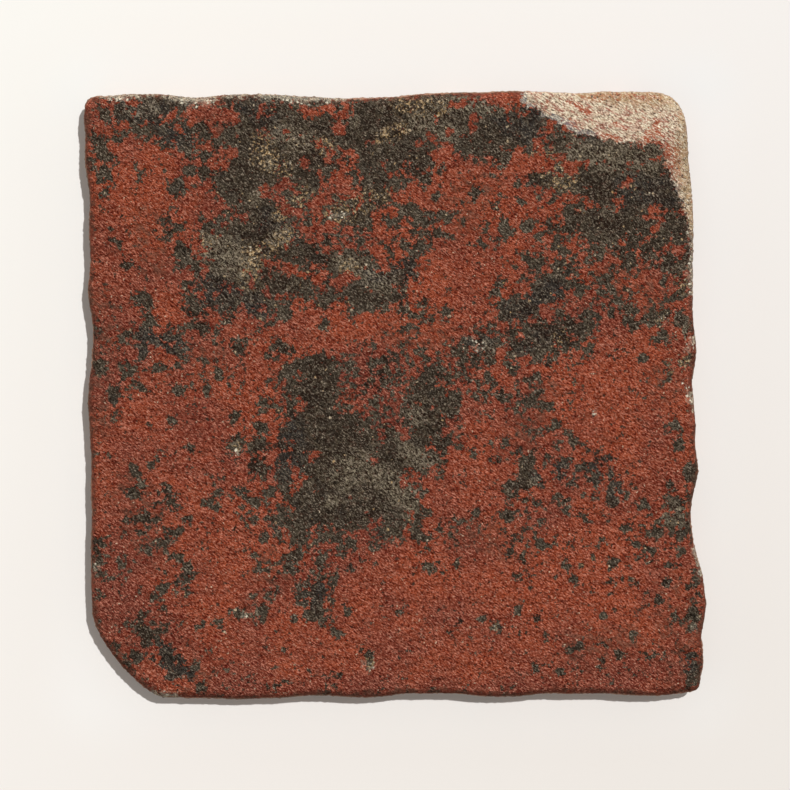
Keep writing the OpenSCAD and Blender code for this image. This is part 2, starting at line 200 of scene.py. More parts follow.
    ((98, -76, 1.9),), ((97.5, -87, 2), (98.5, -91, 2.2), (98.5, -94, 1.6)), ((97.5, -96, 1.2),),
    ((-22, -99, 1.1),), ((14, -99, 1.6),), ((99.5, -59, 1.2), (100, -62, 1)),
    ((98, -70, 1.4), (98, -73, 1.9), (95.5, -75, 1.2)), ((-93, -83, 1.2), (-87, -91, 1.2)),
    ((-87, -83, 1.5), (-85, -88, 1.3)), ((-98.5, 70, 1),), ((-100, -20, 0.9),),
)

# Islands of skin left within the bare masses
SKIN_ISLANDS = (
    ((-61, 95, 3.8), (-57, 92.5, 4), (-53, 92, 2)), ((-58, 88.5, 2),), ((-74, 92, 1.8),),
    ((-68.5, 92.5, 1.8),), ((-66.5, 86, 1.5),), ((-66, 80, 1.4), (-65, 76.5, 1.4)),
    ((-62, 81, 1.2), (-54, 80.5, 1.5)), ((-60, 75.5, 1.5), (-57, 77, 1.5)), ((-52.5, 87, 1.2),),
    ((-49.5, 58.5, 1.3),), ((-65, 45, 1.6),), ((-57, 61.5, 1.3), (-59.5, 66.5, 1.6)), ((-43.5, 95.5, 1.3),),
    ((-34, 96, 1.3),), ((-31, 94, 1.4), (-26, 93, 1.5), (-22, 95, 1.3)),
    ((-17, 96, 2.2), (-18, 92, 2.4), (-18.5, 87.5, 1.4)),
    ((-13, 78, 1.4), (-17, 76, 2.8), (-17, 71, 5), (-15, 67, 3.6)),
    ((-22, 66, 3), (-28, 62, 3.2), (-33, 60.5, 2.2), (-38, 64.5, 1.4), (-43, 67, 1.8)),
    ((-28, 54, 2), (-22, 55, 2.8), (-16, 54, 3), (-13, 50, 1.5)), ((-23.5, 48, 1.2),), ((-18, 48, 1.4),),
    ((-5, 58, 2.5), (-1, 54, 5), (-4, 50, 5), (0, 47, 3.5), (-5, 44, 3)), ((0, 60.5, 1.3),),
    ((3, 66, 3), (6, 71, 2.5), (8, 65, 3), (12, 62, 2.5)), ((8, 55, 1.3),), ((12, 55, 1),),
    ((-43, 44, 1.6), (-37, 42.5, 1.9), (-31, 40.5, 1.5)), ((-36, 49.5, 1.2),),
    ((-24, 39, 2.6), (-19, 38, 2.3), (-13, 38.5, 1.2)), ((-42, 33, 1.8),), ((-38.5, 32, 1.2),),
    ((-59.5, 33, 1.2),), ((19, 96, 1.3), (23, 97, 1.2)), ((25.5, 91.5, 1.1), (25.5, 88.5, 1.2)),
    ((18.5, 87, 1.3),), ((13.5, 91, 1.2),), ((13, 80, 1.5), (17.5, 80.5, 2.4)), ((15, 76, 2.8),),
    ((29, 99.5, 1.5), (34, 98, 2.3), (37, 97, 2.5), (41, 98, 2)),
    ((51, 90, 1.3), (50.5, 87.5, 1.8), (48.5, 83, 1.8), (47, 79, 3.6), (48, 75.5, 2.6), (53, 73.5, 1.6)),
    ((55, 79, 1.2),), ((77, 70.5, 1.6),), ((74, 63.5, 1.8),), ((67, 62.5, 1.2),),
    ((85, 60, 1.5), (88, 57.5, 1.6), (86, 54.5, 2)), ((56.5, 50.5, 1.2),), ((41, 34, 1.8), (46, 39, 1.8)),
    ((49.5, 27.5, 1.8), (53, 26, 1.2)), ((39, 25, 1.5),), ((42.5, 19, 1.2),), ((36, 18, 1.5),),
    ((31.5, 22, 2),), ((59.5, 30, 3),), ((-13.5, 10, 2.5),), ((-15, 2, 1.7), (-13, 0, 1.2)),
    ((-14, -5.5, 1.4),), ((-9, 6, 1),), ((-5, 4.5, 1.3),), ((-6, -5, 2),), ((2, -2, 1.8),),
    ((-3, -8, 1.5),), ((-38, -4.5, 2),), ((-31.5, -4.5, 1.5),), ((-32, 5.5, 1.3),),
    ((-28, -21, 1.2), (-25, -18.5, 1)), ((-34.5, -22, 1.2),), ((-33.5, -28.5, 2.6), (-34, -32, 1.2)),
    ((-38, -33, 1.8),), ((-7.5, -21.5, 1.5),), ((2.5, -12, 2.1),), ((-5, -13, 1.9),), ((16.5, -12, 1.8),),
    ((15.5, -6.5, 1.2),), ((15, 3.5, 1.1),), ((22, 3, 2.6),), ((17, 0, 1.3),), ((-37.5, -45, 1.6),),
    ((-26.5, -46.5, 2.4),), ((-14, -48, 1.5), (-10, -45.5, 2), (-5, -41.5, 1.3)), ((-2.5, -47, 1),),
    ((3.5, -46.5, 1.2),), ((96.5, -38.5, 1.3),), ((93.5, -44.5, 1.2),), ((-12, 66, 1.6), (-12, 63, 1.4)),
    ((56, 76, 1.8), (59, 74, 1.4)), ((77, 76, 1.2),), ((65, 44, 1.6),), ((83, 46, 1.6), (87, 43, 1.4)),
    ((-63, 41, 1.3),), ((-63, 33, 1.3),), ((-47, 37, 1.2),), ((-24, 35, 1.4),), ((4, 33, 1.5),),
    ((33, 13, 1.4), (37, 16, 1.2)), ((13, -4, 1.4),), ((-33, -25, 1.3),), ((-14, -34, 1.1),),
    ((6, -42, 1.3),),
)

# Mixed ground, half skin and half bare
HALF_BARE = (
    ((-16, 8, 6), (-13, 1, 6), (-5, 4, 8), (4, 7, 6)), ((-8, -4, 5), (-2, -8, 5)),
    ((-22, 82, 3), (-14, 83, 3)), ((-34, 50, 3), (-26, 51, 3)), ((30, 78, 4), (36, 77, 3)),
    ((64, 50, 4), (80, 47, 5), (90, 48, 4)), ((50, 41, 5), (60, 46, 5)),
    ((-40, 14, 4), (-38, 6, 4), (-38, -4, 3)), ((20, -14, 2), (20, 0, 3)), ((-36, 68, 3), (-33, 64, 3)),
    ((66, 24, 3), (66, 30, 3)), ((93, -32, 5), (95, -36, 4)), ((-66, 88, 4), (-65, 76, 3)),
    ((-67, 43, 3), (-67, 34, 4), (-65, 26, 3)), ((26, 6, 4), (28, 0, 4)), ((4, 13, 4), (10, 12, 2)),
    ((22, 10, 3), (28, 9, 3)), ((-40, -38, 4), (-38, -46, 4)), ((-24, -50, 4), (-14, -49, 4), (0, -48, 3)),
    ((-46, -23, 4), (-43, -30, 3)), ((57, -26, 4), (66, -27, 5)), ((74, 40, 4), (70, 34, 4)),
    ((-2, 60, 4), (2, 56, 3)), ((4, 72, 3), (10, 71, 2)), ((-60, 79, 3),), ((90, 42, 4), (95, 36, 3)),
    ((-88, 88, 3),), ((44, 12, 3), (38, 12, 3)),
)

# Skin that is dotted with many small bare specks
SPECKLED = (
    ((-84, -40, 14), (-78, -54, 12)), ((-40, -52, 13), (-28, -62, 8)), ((-90, 12, 12), (-66, 12, 14)),
    ((30, -18, 14), (48, -6, 14), (42, 8, 12)), ((60, 38, 13), (84, 36, 14)), ((18, 20, 11),),
    ((-72, -78, 10), (-88, -70, 8)), ((-92, 82, 10), (-86, 72, 7)), ((-88, 46, 9), (-74, 50, 11)),
    ((60, -22, 12), (74, -30, 10)), ((40, -48, 12), (60, -56, 12), (78, -52, 10)),
    ((20, 66, 12), (38, 60, 11)), ((86, 10, 10), (94, -12, 7)), ((-60, -40, 10), (-52, -26, 9)),
    ((-60, -92, 8), (-20, -92, 7)), ((92, -78, 9), (92, -60, 8)), ((-52, 12, 9), (-50, -6, 9)),
    ((10, -52, 9),), ((34, -78, 9), (14, -80, 9)), ((60, -86, 9), (80, -88, 9)), ((76, -66, 9),),
)

# Skin that is dotted more thickly still
DENSE = (
    ((-40, -46, 12), (-38, -56, 8)), ((-26, -56, 5), (-25, -72, 5)),
    ((-36, 66, 9), (-30, 58, 8), (-22, 50, 8)), ((-48, -38, 7), (-48, -50, 7)),
    ((-8, 62, 8), (0, 52, 7), (6, 60, 8), (14, 54, 7)), ((46, 42, 9), (60, 44, 9), (76, 38, 10)),
    ((26, 6, 10), (34, -8, 10), (44, 4, 8)), ((46, -12, 10), (54, -24, 10), (68, -28, 9)),
    ((-84, -42, 10), (-76, -52, 9)), ((-88, 14, 9), (-72, 12, 10)), ((88, 36, 9), (94, 24, 6)),
    ((-60, 22, 6), (-44, 20, 6)), ((-44, -8, 7), (-46, -24, 8)), ((20, 56, 8),), ((4, 17, 7), (-8, 15, 6)),
    ((24, -42, 5), (8, -46, 6)), ((-86, 86, 8), (-70, 82, 9)), ((-28, 62, 6),), ((48, 66, 7), (56, 60, 6)),
    ((-98, 8, 3), (-97, 18, 3)), ((-86, -78, 7), (-78, -68, 6)), ((97, -84, 4),), ((-90, -52, 7),),
    ((86, -38, 8), (84, -48, 6)), ((40, -32, 9), (40, -46, 6)), ((34, 78, 7),), ((54, 6, 6), (60, 12, 5)),
    ((86, 14, 6),),
)

# Broad places where the skin is duller, and where it is brighter
DULL = (
    ((-86, -84, 22), (-92, -50, 14)), ((-94, 0, 14), (-92, 40, 12)),
    ((-60, -100, 9), (60, -100, 7), (98, -92, 10)), ((-14, 2, 20), (-10, -34, 20)), ((58, -28, 6),),
    ((56, 26, 10),), ((-52, 56, 14), (-46, 30, 12)),
)
BRIGHT = (
    ((88, 2, 16), (74, -6, 14)), ((66, -56, 18), (40, -62, 14)), ((4, 50, 10), (16, 30, 12), (-14, 26, 10)),
    ((-48, -4, 10),), ((32, 66, 10),), ((60, -6, 12),), ((-82, 68, 14),), ((10, -60, 12),),
)

# Paler, sandier places in the bare body, partly painted highlights on its lumps, which are also raised
# there
KHAKI = (
    ((-38, 86, 5), (-30, 84, 5)), ((-41, 76, 3),), ((-46, 65, 3.5),), ((-58, 48, 8), (-50, 42, 7)),
    ((-14, 91, 3),), ((8, 90, 5), (18, 86, 5)), ((14, 97, 4), (26, 95, 5), (34, 95, 4)),
    ((60, 81, 5), (66, 79, 6), (76, 78, 7), (86, 79, 6)), ((-38, 53, 5),), ((-3, 37, 5), (-18, 45, 4)),
    ((-87, 94, 3), (-80, 94, 3)), ((-17, -26, 8), (-12, -24, 6)), ((7, -7, 4.5),),
    ((4, -19, 4), (11, -22, 4)), ((2, -14, 3),), ((4, -34, 7), (-5, -27, 5)), ((-21, -35, 3),),
    ((46, -29, 2),), ((92, -40, 6),), ((71, 60, 3),), ((96, 20, 4),), ((-52, -17, 2.5),),
    ((-48, -72, 3.5),),
)

# Smoked blue-black places
SOOT = (
    ((-90, 94, 6), (-78, 93, 6)), ((-77, 90, 5), (-70, 84, 5)), ((-48, 96, 5), (-40, 89, 5)),
    ((36, 90, 5), (45, 86, 6)), ((78, 70, 7), (90, 66, 6)), ((-60, 34, 8), (-46, 30, 6)),
    ((-40, 58, 6), (-34, 54, 5)), ((40, 28, 6), (52, 34, 6)), ((44, 18, 6), (56, 20, 5)),
    ((-34, -12, 6), (-36, -24, 6)), ((26, 17, 3), (32, 18, 3)), ((-76, -88, 8), (-70, -92, 6)),
    ((-26, -66, 6),), ((44, 97, 5), (50, 93, 5), (57, 90, 4.5), (64, 87, 3.5)), ((93, 68, 2), (95, 64, 2)),
    ((98, -88, 6),), ((6, 42, 5), (-12, 38, 4)), ((-84, 18, 6), (-72, 16, 5)), ((70, -26, 8), (74, -32, 5)),
    ((48, -27, 5), (58, -25, 4)),
)

# Places with many ochre and cream grains
OCHRE = (
    ((-37, 75, 4), (-43, 78, 5), (-44, 84, 4)), ((-35, 53, 3), (-47, 46, 4), (-48, 38, 4)), ((-23, 82, 4),),
    ((-8, 65, 4), (-20, 60, 5), (-15, 60, 4)), ((-15, 42, 4),), ((2, 96, 4), (10, 96, 4)),
    ((-4, 85, 3), (2, 88, 3)), ((16, 95, 3),), ((48, 78, 6), (56, 72, 6)), ((55, 19, 3),), ((89, 25, 3),),
    ((-9, -89, 2.5),), ((33, -77, 2),), ((34, -5.5, 1.5),), ((64, -56, 3),), ((66, -6, 2),), ((77, 69, 2),),
    ((-52.5, -17, 2.5),), ((94, 14, 5), (96, 0, 5)), ((-66, 64, 3),), ((-63, 50, 4),), ((96, 38, 5),),
    ((-37, 60, 4), (-30, 66, 4)), ((-2, 66, 3),),
)

# Pale lime and clay laid bare: along the edges, in pits and on single grains. The first rows, along the
# upper edge, are also painted highlight where that arris faces the light
CREAM = (
    # along the upper edge: chipped pale clay, partly painted highlight on the arris that faces the light
    ((-96, 99.5, 0.8), (-92, 98.8, 1.9), (-88, 99.6, 1.4)), ((-86, 100, 1.2), (-79, 100, 1)),
    ((-75, 99.3, 1.5), (-70, 98.8, 1.9), (-65, 98, 2.4), (-61, 98.5, 1.5)),
    ((-60, 99.8, 0.8), (-50, 99.8, 1.2)),
    ((-46, 99.5, 1), (-35, 98.8, 1.6), (-24, 98.3, 1.8), (-16, 98.8, 1)),
    ((-10, 99.6, 0.3), (6, 99.8, 0.4)),
    ((99.5, 66, 1.6), (98.5, 58, 1.7), (98.5, 50, 1.1), (97.8, 40, 1.5), (98.3, 33, 1)),
    ((99.5, -51, 0.8), (100.5, -55, 1), (101.5, -59, 0.7)), ((95.5, 4, 0.4), (97.5, 0, 0.9), (98, -5, 0.6)),
    ((97, 15, 1.1), (99.5, 20, 0.8)), ((98.5, -77, 0.5),), ((-98.5, -57, 1.1),),
    ((-80, -99, 0.9), (-72, -99.5, 0.9)), ((23.5, 19, 0.6), (26.5, 17, 0.7), (28, 15, 0.7)),
    ((30, 17.5, 0.8),), ((-52.5, -19, 0.8),), ((-49.5, -73, 0.5),), ((89, 25, 0.6),), ((-20.5, 59.3, 1),),
    ((-17.5, 59.6, 1.1),), ((-15.5, 59.2, 0.9),), ((66, -6, 0.3),), ((77, 69, 0.3),),
    ((-10, -89, 0.8), (-8, -90, 0.6)), ((33, -77, 0.4),), ((84.5, 86, 0.5),),
)

# Skin that is stained brown without being worn through. The last two chains, along the flaked corner's
# right and upper edges, darken the clay there partly as painted shade
BROWN = (
    ((60, -84, 8), (78, -80, 6)), ((-82, 58, 6), (-80, 44, 7)), ((-88, -30, 9), (-80, -50, 8)),
    ((20, 60, 10), (30, 72, 7)), ((42, -12, 7), (50, 2, 5)), ((84, 32, 9), (70, 42, 8)), ((-62, 12, 8),),
    ((-40, -58, 9),), ((-60, 86, 8),), ((92, -66, 7), (94, -90, 8)), ((-2, 20, 5), (16, 20, 6)),
    ((-66, -94, 8),), ((-96, 30, 6), (-97, -10, 5)), ((88, 4, 7),), ((24, -46, 7), (40, -50, 7)),
    # along the flaked corner's right and upper edges: brown, partly painted shade
    ((97, 92, 4), (97, 80, 5), (97.5, 66, 5), (99, 56, 4)),
    ((62, 100, 2.5), (72, 100, 4), (84, 99.5, 5), (92, 98, 3.5)),
)

# The line along which the upper right corner has flaked off, from the upper edge to the right one
BREAK_LINE = (
    (42, 104), (42, 97), (46, 95), (50, 91.5), (55, 90), (60, 87), (65, 85.5), (70, 84.5), (75, 84),
    (80, 83.5), (84, 83), (89, 83.5), (89.5, 76), (92, 70), (94, 66), (96, 60), (98, 53), (99, 48),
    (106, 40), (106, 104),
)

# Bare ground on which many flecks of skin are left
FLECKED = (
    ((-34, 0, 5), (-36, -8, 5)), ((-15, -3, 5), (-2, 0, 8), (8, 4, 6)), ((-4, -10, 6), (4, -12, 4)),
    ((17, -2, 4.5), (18, 6, 3)), ((-32, -22, 6),), ((52, 28, 5),), ((42, 24, 4),), ((84, 60, 5),),
    ((92, 54, 4),), ((-44, 94, 6), (-28, 95, 4)), ((-63, 84, 5), (-60, 76, 5)), ((-26, 48, 4),),
    ((21, 89, 4),), ((-26, 38, 4), (-14, 36, 4)), ((60, 82, 4), (52, 84, 4)), ((93, -40, 5),),
    ((-84, 92, 6), (-72, 86, 5)), ((-72, -90, 4),), ((2, -44, 4),), ((-20, -46, 5),),
    ((99, -60, 5), (99, -72, 5), (99, -90, 5)), ((-36, 54, 4),), ((-56, 34, 5),), ((8, 58, 4),),
)

# Skin left on the broken corner
RUBBED = (
    ((83.5, 84, 3), (86, 87, 3.4), (87, 90, 2)), ((90.5, 80, 4.6), (91.5, 75, 4.6)),
    ((58, 97, 1.5), (64, 94, 1.5)), ((62, 98.5, 1.2), (76, 99, 1.8), (88, 98.5, 1.4)),
    ((56, 91, 1.2), (60, 89, 1.2)), ((97, 95, 1), (97.5, 92, 1.2)), ((72, 90, 1), (76, 88, 1.2)),
    ((66, 86.5, 1.2), (74, 84.5, 1.5)),
)
@dataclass(frozen=True)
class Pattern:
    """A fractal noise: its period in millimetres, its octaves, and how it is moved, turned, stretched."""

    size: float
    detail: float = 2.0
    rough: float = 0.5
    off: Offset = (0.0, 0.0, 0.0)
    turn: float = 0.0
    stretch: float = 1.0


@dataclass(frozen=True)
class Coat:
    """How a tint goes on: where a pattern starts it, where it is full, and its share there."""

    start: float
    full: float
    share: float = 1.0


@dataclass(frozen=True)
class Border:
    """How a worn border breaks up: the size of its tongues, how far they reach, how softly they end."""

    size: float
    raggedness: float
    softness: float


@dataclass(frozen=True)
class Crumbs:
    """Crumbs or pores, each in a cell of its own.

    Size is that of the cells, fullness how much of its cell each fills, amount the share of the cells
    that hold one, and share how strongly they are tinted.
    """

    size: float
    fullness: float
    amount: float = 0.0
    share: float = 1.0
    off: Offset = (0.0, 0.0, 0.0)


@dataclass(frozen=True)
class SkinFinish:
    """The thin red skin on the face. Colours are linear, and lengths are in millimetres."""

    body: Colour = (0.337, 0.0665, 0.0243)
    dull: Colour = (0.190, 0.045, 0.025)
    # painted highlight: the lit side of the skin's small relief and the glints on its grains
    bright: Colour = (0.50, 0.195, 0.130)
    pore: Colour = (0.085, 0.003, 0.0002)
    grain: Colour = (0.60, 0.47, 0.33)
    pit: Colour = (0.046, 0.034, 0.023)
    stain: Colour = (0.085, 0.045, 0.028)
    broad: Pattern = Pattern(16.0, 3.0, 0.55)
    mottle: Pattern = Pattern(2.2, 3.0, 0.6, turn=0.7, stretch=0.6)
    lumps: Pattern = Pattern(1.9, 3.0, 0.6, off=(61.0, 9.0, 2.0))
    swell: Pattern = Pattern(5.5, off=(19.0, 46.0, 8.0))
    tone_by_zone: float = 1.1
    tone_by_place: float = 0.7
    full_red: Coat = Coat(-2.0, 1.3)
    # painted shade and painted light of the skin's small relief, laid on as a stretched mottle
    shaded: Coat = Coat(0.2, -2.0, 0.65)
    lit: Coat = Coat(0.3, 2.2, 0.30)
    # painted glints on the skin's grains
    light_grain: Coat = Coat(0.5, 1.65)
    dark_grain: Coat = Coat(-0.4, -1.35)
    fine_pores: Coat = Coat(-0.7, -1.6, 0.95)
    stained: Coat = Coat(-0.6, 1.2, 0.55)
    # pale grains, partly painted highlights like those on the rims of pits
    pale_grains: Crumbs = Crumbs(0.8, 0.36, 0.07, 0.8)
    pin_holes: Crumbs = Crumbs(0.8, 0.42, 0.22, 0.8, off=(7.0, 23.0, 12.0))
    pits: Crumbs = Crumbs(1.7, 0.38, share=0.88, off=(40.0, 3.0, 2.0))
    pit_amount: Ramp = (-1.1, -0.4, 0.14, 0.30)
    thickness: float = 0.11
    grain_height: float = 0.044
    lump_height: float = 0.11
    swell_height: float = 0.17
    pit_depth: float = 0.16


@dataclass(frozen=True)
class BareFinish:
    """The weathered body under the skin."""

    body: Colour = (0.044, 0.0325, 0.0208)
    pore: Colour = (0.014, 0.004, 0.0006)
    # paler body colour, partly painted highlight on the lumps
    khaki: Colour = (0.124, 0.095, 0.058)
    thin: Colour = (0.090, 0.074, 0.050)
    soot: Colour = (0.034, 0.033, 0.031)
    rust: Colour = (0.110, 0.046, 0.028)
    sand: Colour = (0.305, 0.245, 0.182)
    ochre: Colour = (0.48, 0.30, 0.13)
    cream: Colour = (0.68, 0.57, 0.41)
    # painted highlights along the ridges of the bare lumps, as thin strands
    straw: Colour = (0.460, 0.390, 0.265)
    patch: Pattern = Pattern(6.0, 5.0, 0.68)
    tuft: Pattern = Pattern(2.2, 4.0, 0.7, off=(83.0, 4.0, 19.0))
    shade: Pattern = Pattern(11.0, 3.0, 0.6, off=(12.0, 71.0, 6.0))
    strands: Pattern = Pattern(0.7, 4.0, 0.75, turn=1.0, stretch=0.42)
    wisps: Pattern = Pattern(1.5, 3.0, 0.65, off=(52.0, 13.0, 4.0), turn=1.0, stretch=0.42)
    scale: Pattern = Pattern(1.6, 3.0, 0.7, off=(3.0, 8.0, 1.0))
    curl: Pattern = Pattern(1.2, 3.0, 0.72, off=(14.0, 5.0, 9.0))
    khaki_by_zone: float = 1.7
    khaki_by_patch: float = 0.6
    khaki_by_tuft: float = 0.75
    soot_by_zone: float = 1.3
    soot_by_patch: float = -0.5
    shade_by_tuft: float = 0.4
    straw_gather: float = 1.6
    khaki_cover: Coat = Coat(0.1, 2.6, 0.95)
    thin_cover: Coat = Coat(1.1, 0.2, 0.5)
    soot_cover: Coat = Coat(0.0, 2.0, 0.85)
    shade_cover: Coat = Coat(0.2, -1.8, 0.75)
    straw_cover: Coat = Coat(-0.2, 1.5, 0.95)
    wisp_cover: Coat = Coat(0.2, 1.8, 0.65)
    rust_cover: Coat = Coat(0.4, 2.0, 0.6)
    sand_start: Ramp = (0.0, 1.0, 0.6, 0.3)
    sand_full: Ramp = (0.0, 1.0, 2.0, 1.5)
    sand_share: Ramp = (-1.0, 0.8, 0.65, 1.05)
    pore_start: float = -0.3
    pore_full: Ramp = (0.0, 1.0, -1.35, -1.1)
    fine_pores: Coat = Coat(-0.6, -1.6, 0.85)
    pale_ochre: Coat = Coat(1.0, 2.0)
    ochre_cover: Coat = Coat(0.4, 1.2, 0.95)
    crumbs: Crumbs = Crumbs(1.2, 0.42, share=0.85)
    crumb_amount: Ramp = (0.0, 1.0, 0.04, 0.34)
    grain_height: float = 0.05
    tuft_height: float = 0.10
    patch_height: float = 0.09


@dataclass(frozen=True)
class RimFinish:
    """The dulled rim of the face, along its arrises."""

    width: Ramp = (0.0, 3.4, 0.45, -1.5)
    border: Border = Border(3.4, 0.4, 0.2)
    share: float = 0.65
    cloud: Pattern = Pattern(5.0, 3.0, 0.6)
    stained: Coat = Coat(-0.4, 0.8)
    light_grain: Coat = Coat(0.4, 1.6, 0.5)
    dark_grain: Coat = Coat(0.0, -1.5, 0.7)


@dataclass(frozen=True)
class LimeAndHighlightFinish:
    """The pale lime along the upper edges, partly painted highlight on the arris that faces the light, and
    its crumbs in the pits.
    """

    border: Border = Border(2.4, 0.7, 0.5)
    upward: Span = (-0.1, 0.3)
    grey_grain: Coat = Coat(1.0, -0.9)
    fine_pores: Coat = Coat(-0.3, -1.6, 0.85)
    share: Ramp = (0.8, 0.96, 0.76, 0.3)
    crumbs: Crumbs = Crumbs(1.2, 0.6, 0.45)
    crumbs_near: Span = (-0.9, 0.1)
    crumbs_upward: Span = (0.6, 0.9)


@dataclass(frozen=True)
class ClayFinish:
    """The fired clay of the flaked corner, streaked across its fall. The edges share its colours."""

    cream: Colour = (0.58, 0.45, 0.310)
    pale: Colour = (0.86, 0.78, 0.605)
    pink: Colour = (0.50, 0.27, 0.20)
    ochre: Colour = (0.40, 0.27, 0.13)
    red: Colour = (0.30, 0.085, 0.055)
    grey: Colour = (0.19, 0.180, 0.150)
    blue: Colour = (0.165, 0.170, 0.180)
    edge: Colour = (0.16, 0.085, 0.050)
    under: Colour = (0.40, 0.215, 0.140)
    dark: Colour = (0.050, 0.036, 0.028)
    steepness: float = 0.8
    border: Border = Border(2.6, 0.5, 0.2)
    upward: Span = (-0.1, 0.4)
    streaks: Pattern = Pattern(3.4, 4.0, 0.7, turn=0.64, stretch=0.3)
    lines: Pattern = Pattern(0.65, 3.0, 0.65, turn=0.64, stretch=0.17)
    fibres: Pattern = Pattern(0.38, 1.5, 0.8, off=(2.0, 7.0, 4.0), turn=0.64, stretch=0.32)
    cloud: Pattern = Pattern(3.0, 3.0, 0.6)
    pink_cloud: Coat = Coat(-0.6, 1.8, 0.7)
    pale_fibres: Coat = Coat(0.2, 1.35)
    brown_fibres: Coat = Coat(-0.15, -1.2)
    dark_fibres: Coat = Coat(-0.7, -1.7)
    vein_by_streak: float = 0.4
    veins: Coat = Coat(0.4, 1.1, 0.8)
    left_level: Ramp = (0.0, 1.0, -1.5, 0.9)
    left_border: Border = Border(1.2, 0.9, 0.5)
    left_skin: Coat = Coat(1.6, -0.4, 0.85)
    fringe_by_streak: float = 1.2
    fringe_width: Span = (2.0, 0.2)
    blue_fringe: Coat = Coat(1.8, -0.6, 0.75)
    ochre_lines: Coat = Coat(-1.0, 1.0, 0.7)
    crumbs: Crumbs = Crumbs(1.0, 0.46, share=0.9)
    crumb_amount: Ramp = (0.0, 1.0, 0.07, 0.42)
    grain_height: float = 0.05
    streak_height: float = 0.05


@dataclass(frozen=True)
class SideFinish:
    """The plain clay of the edges and the underside, with some skin high on the edges."""

    downward: Span = (0.62, 0.30)
    cloud: Pattern = Pattern(11.0, 3.0, 0.6)
    clouded: Coat = Coat(-1.5, 1.5)
    underside: Coat = Coat(-0.2, -0.8)
    skin_level: Ramp = (-0.4, 0.6, -0.9, -0.1)
    skin_border: Border = Border(9.0, 0.5, 0.25)
    skin_share: float = 0.8
    dark_grain: Coat = Coat(0.0, -1.8, 0.5)
    light_grain: Coat = Coat(0.3, 1.9, 0.35)
    pores: Crumbs = Crumbs(2.1, 0.3, 0.12, 0.7)


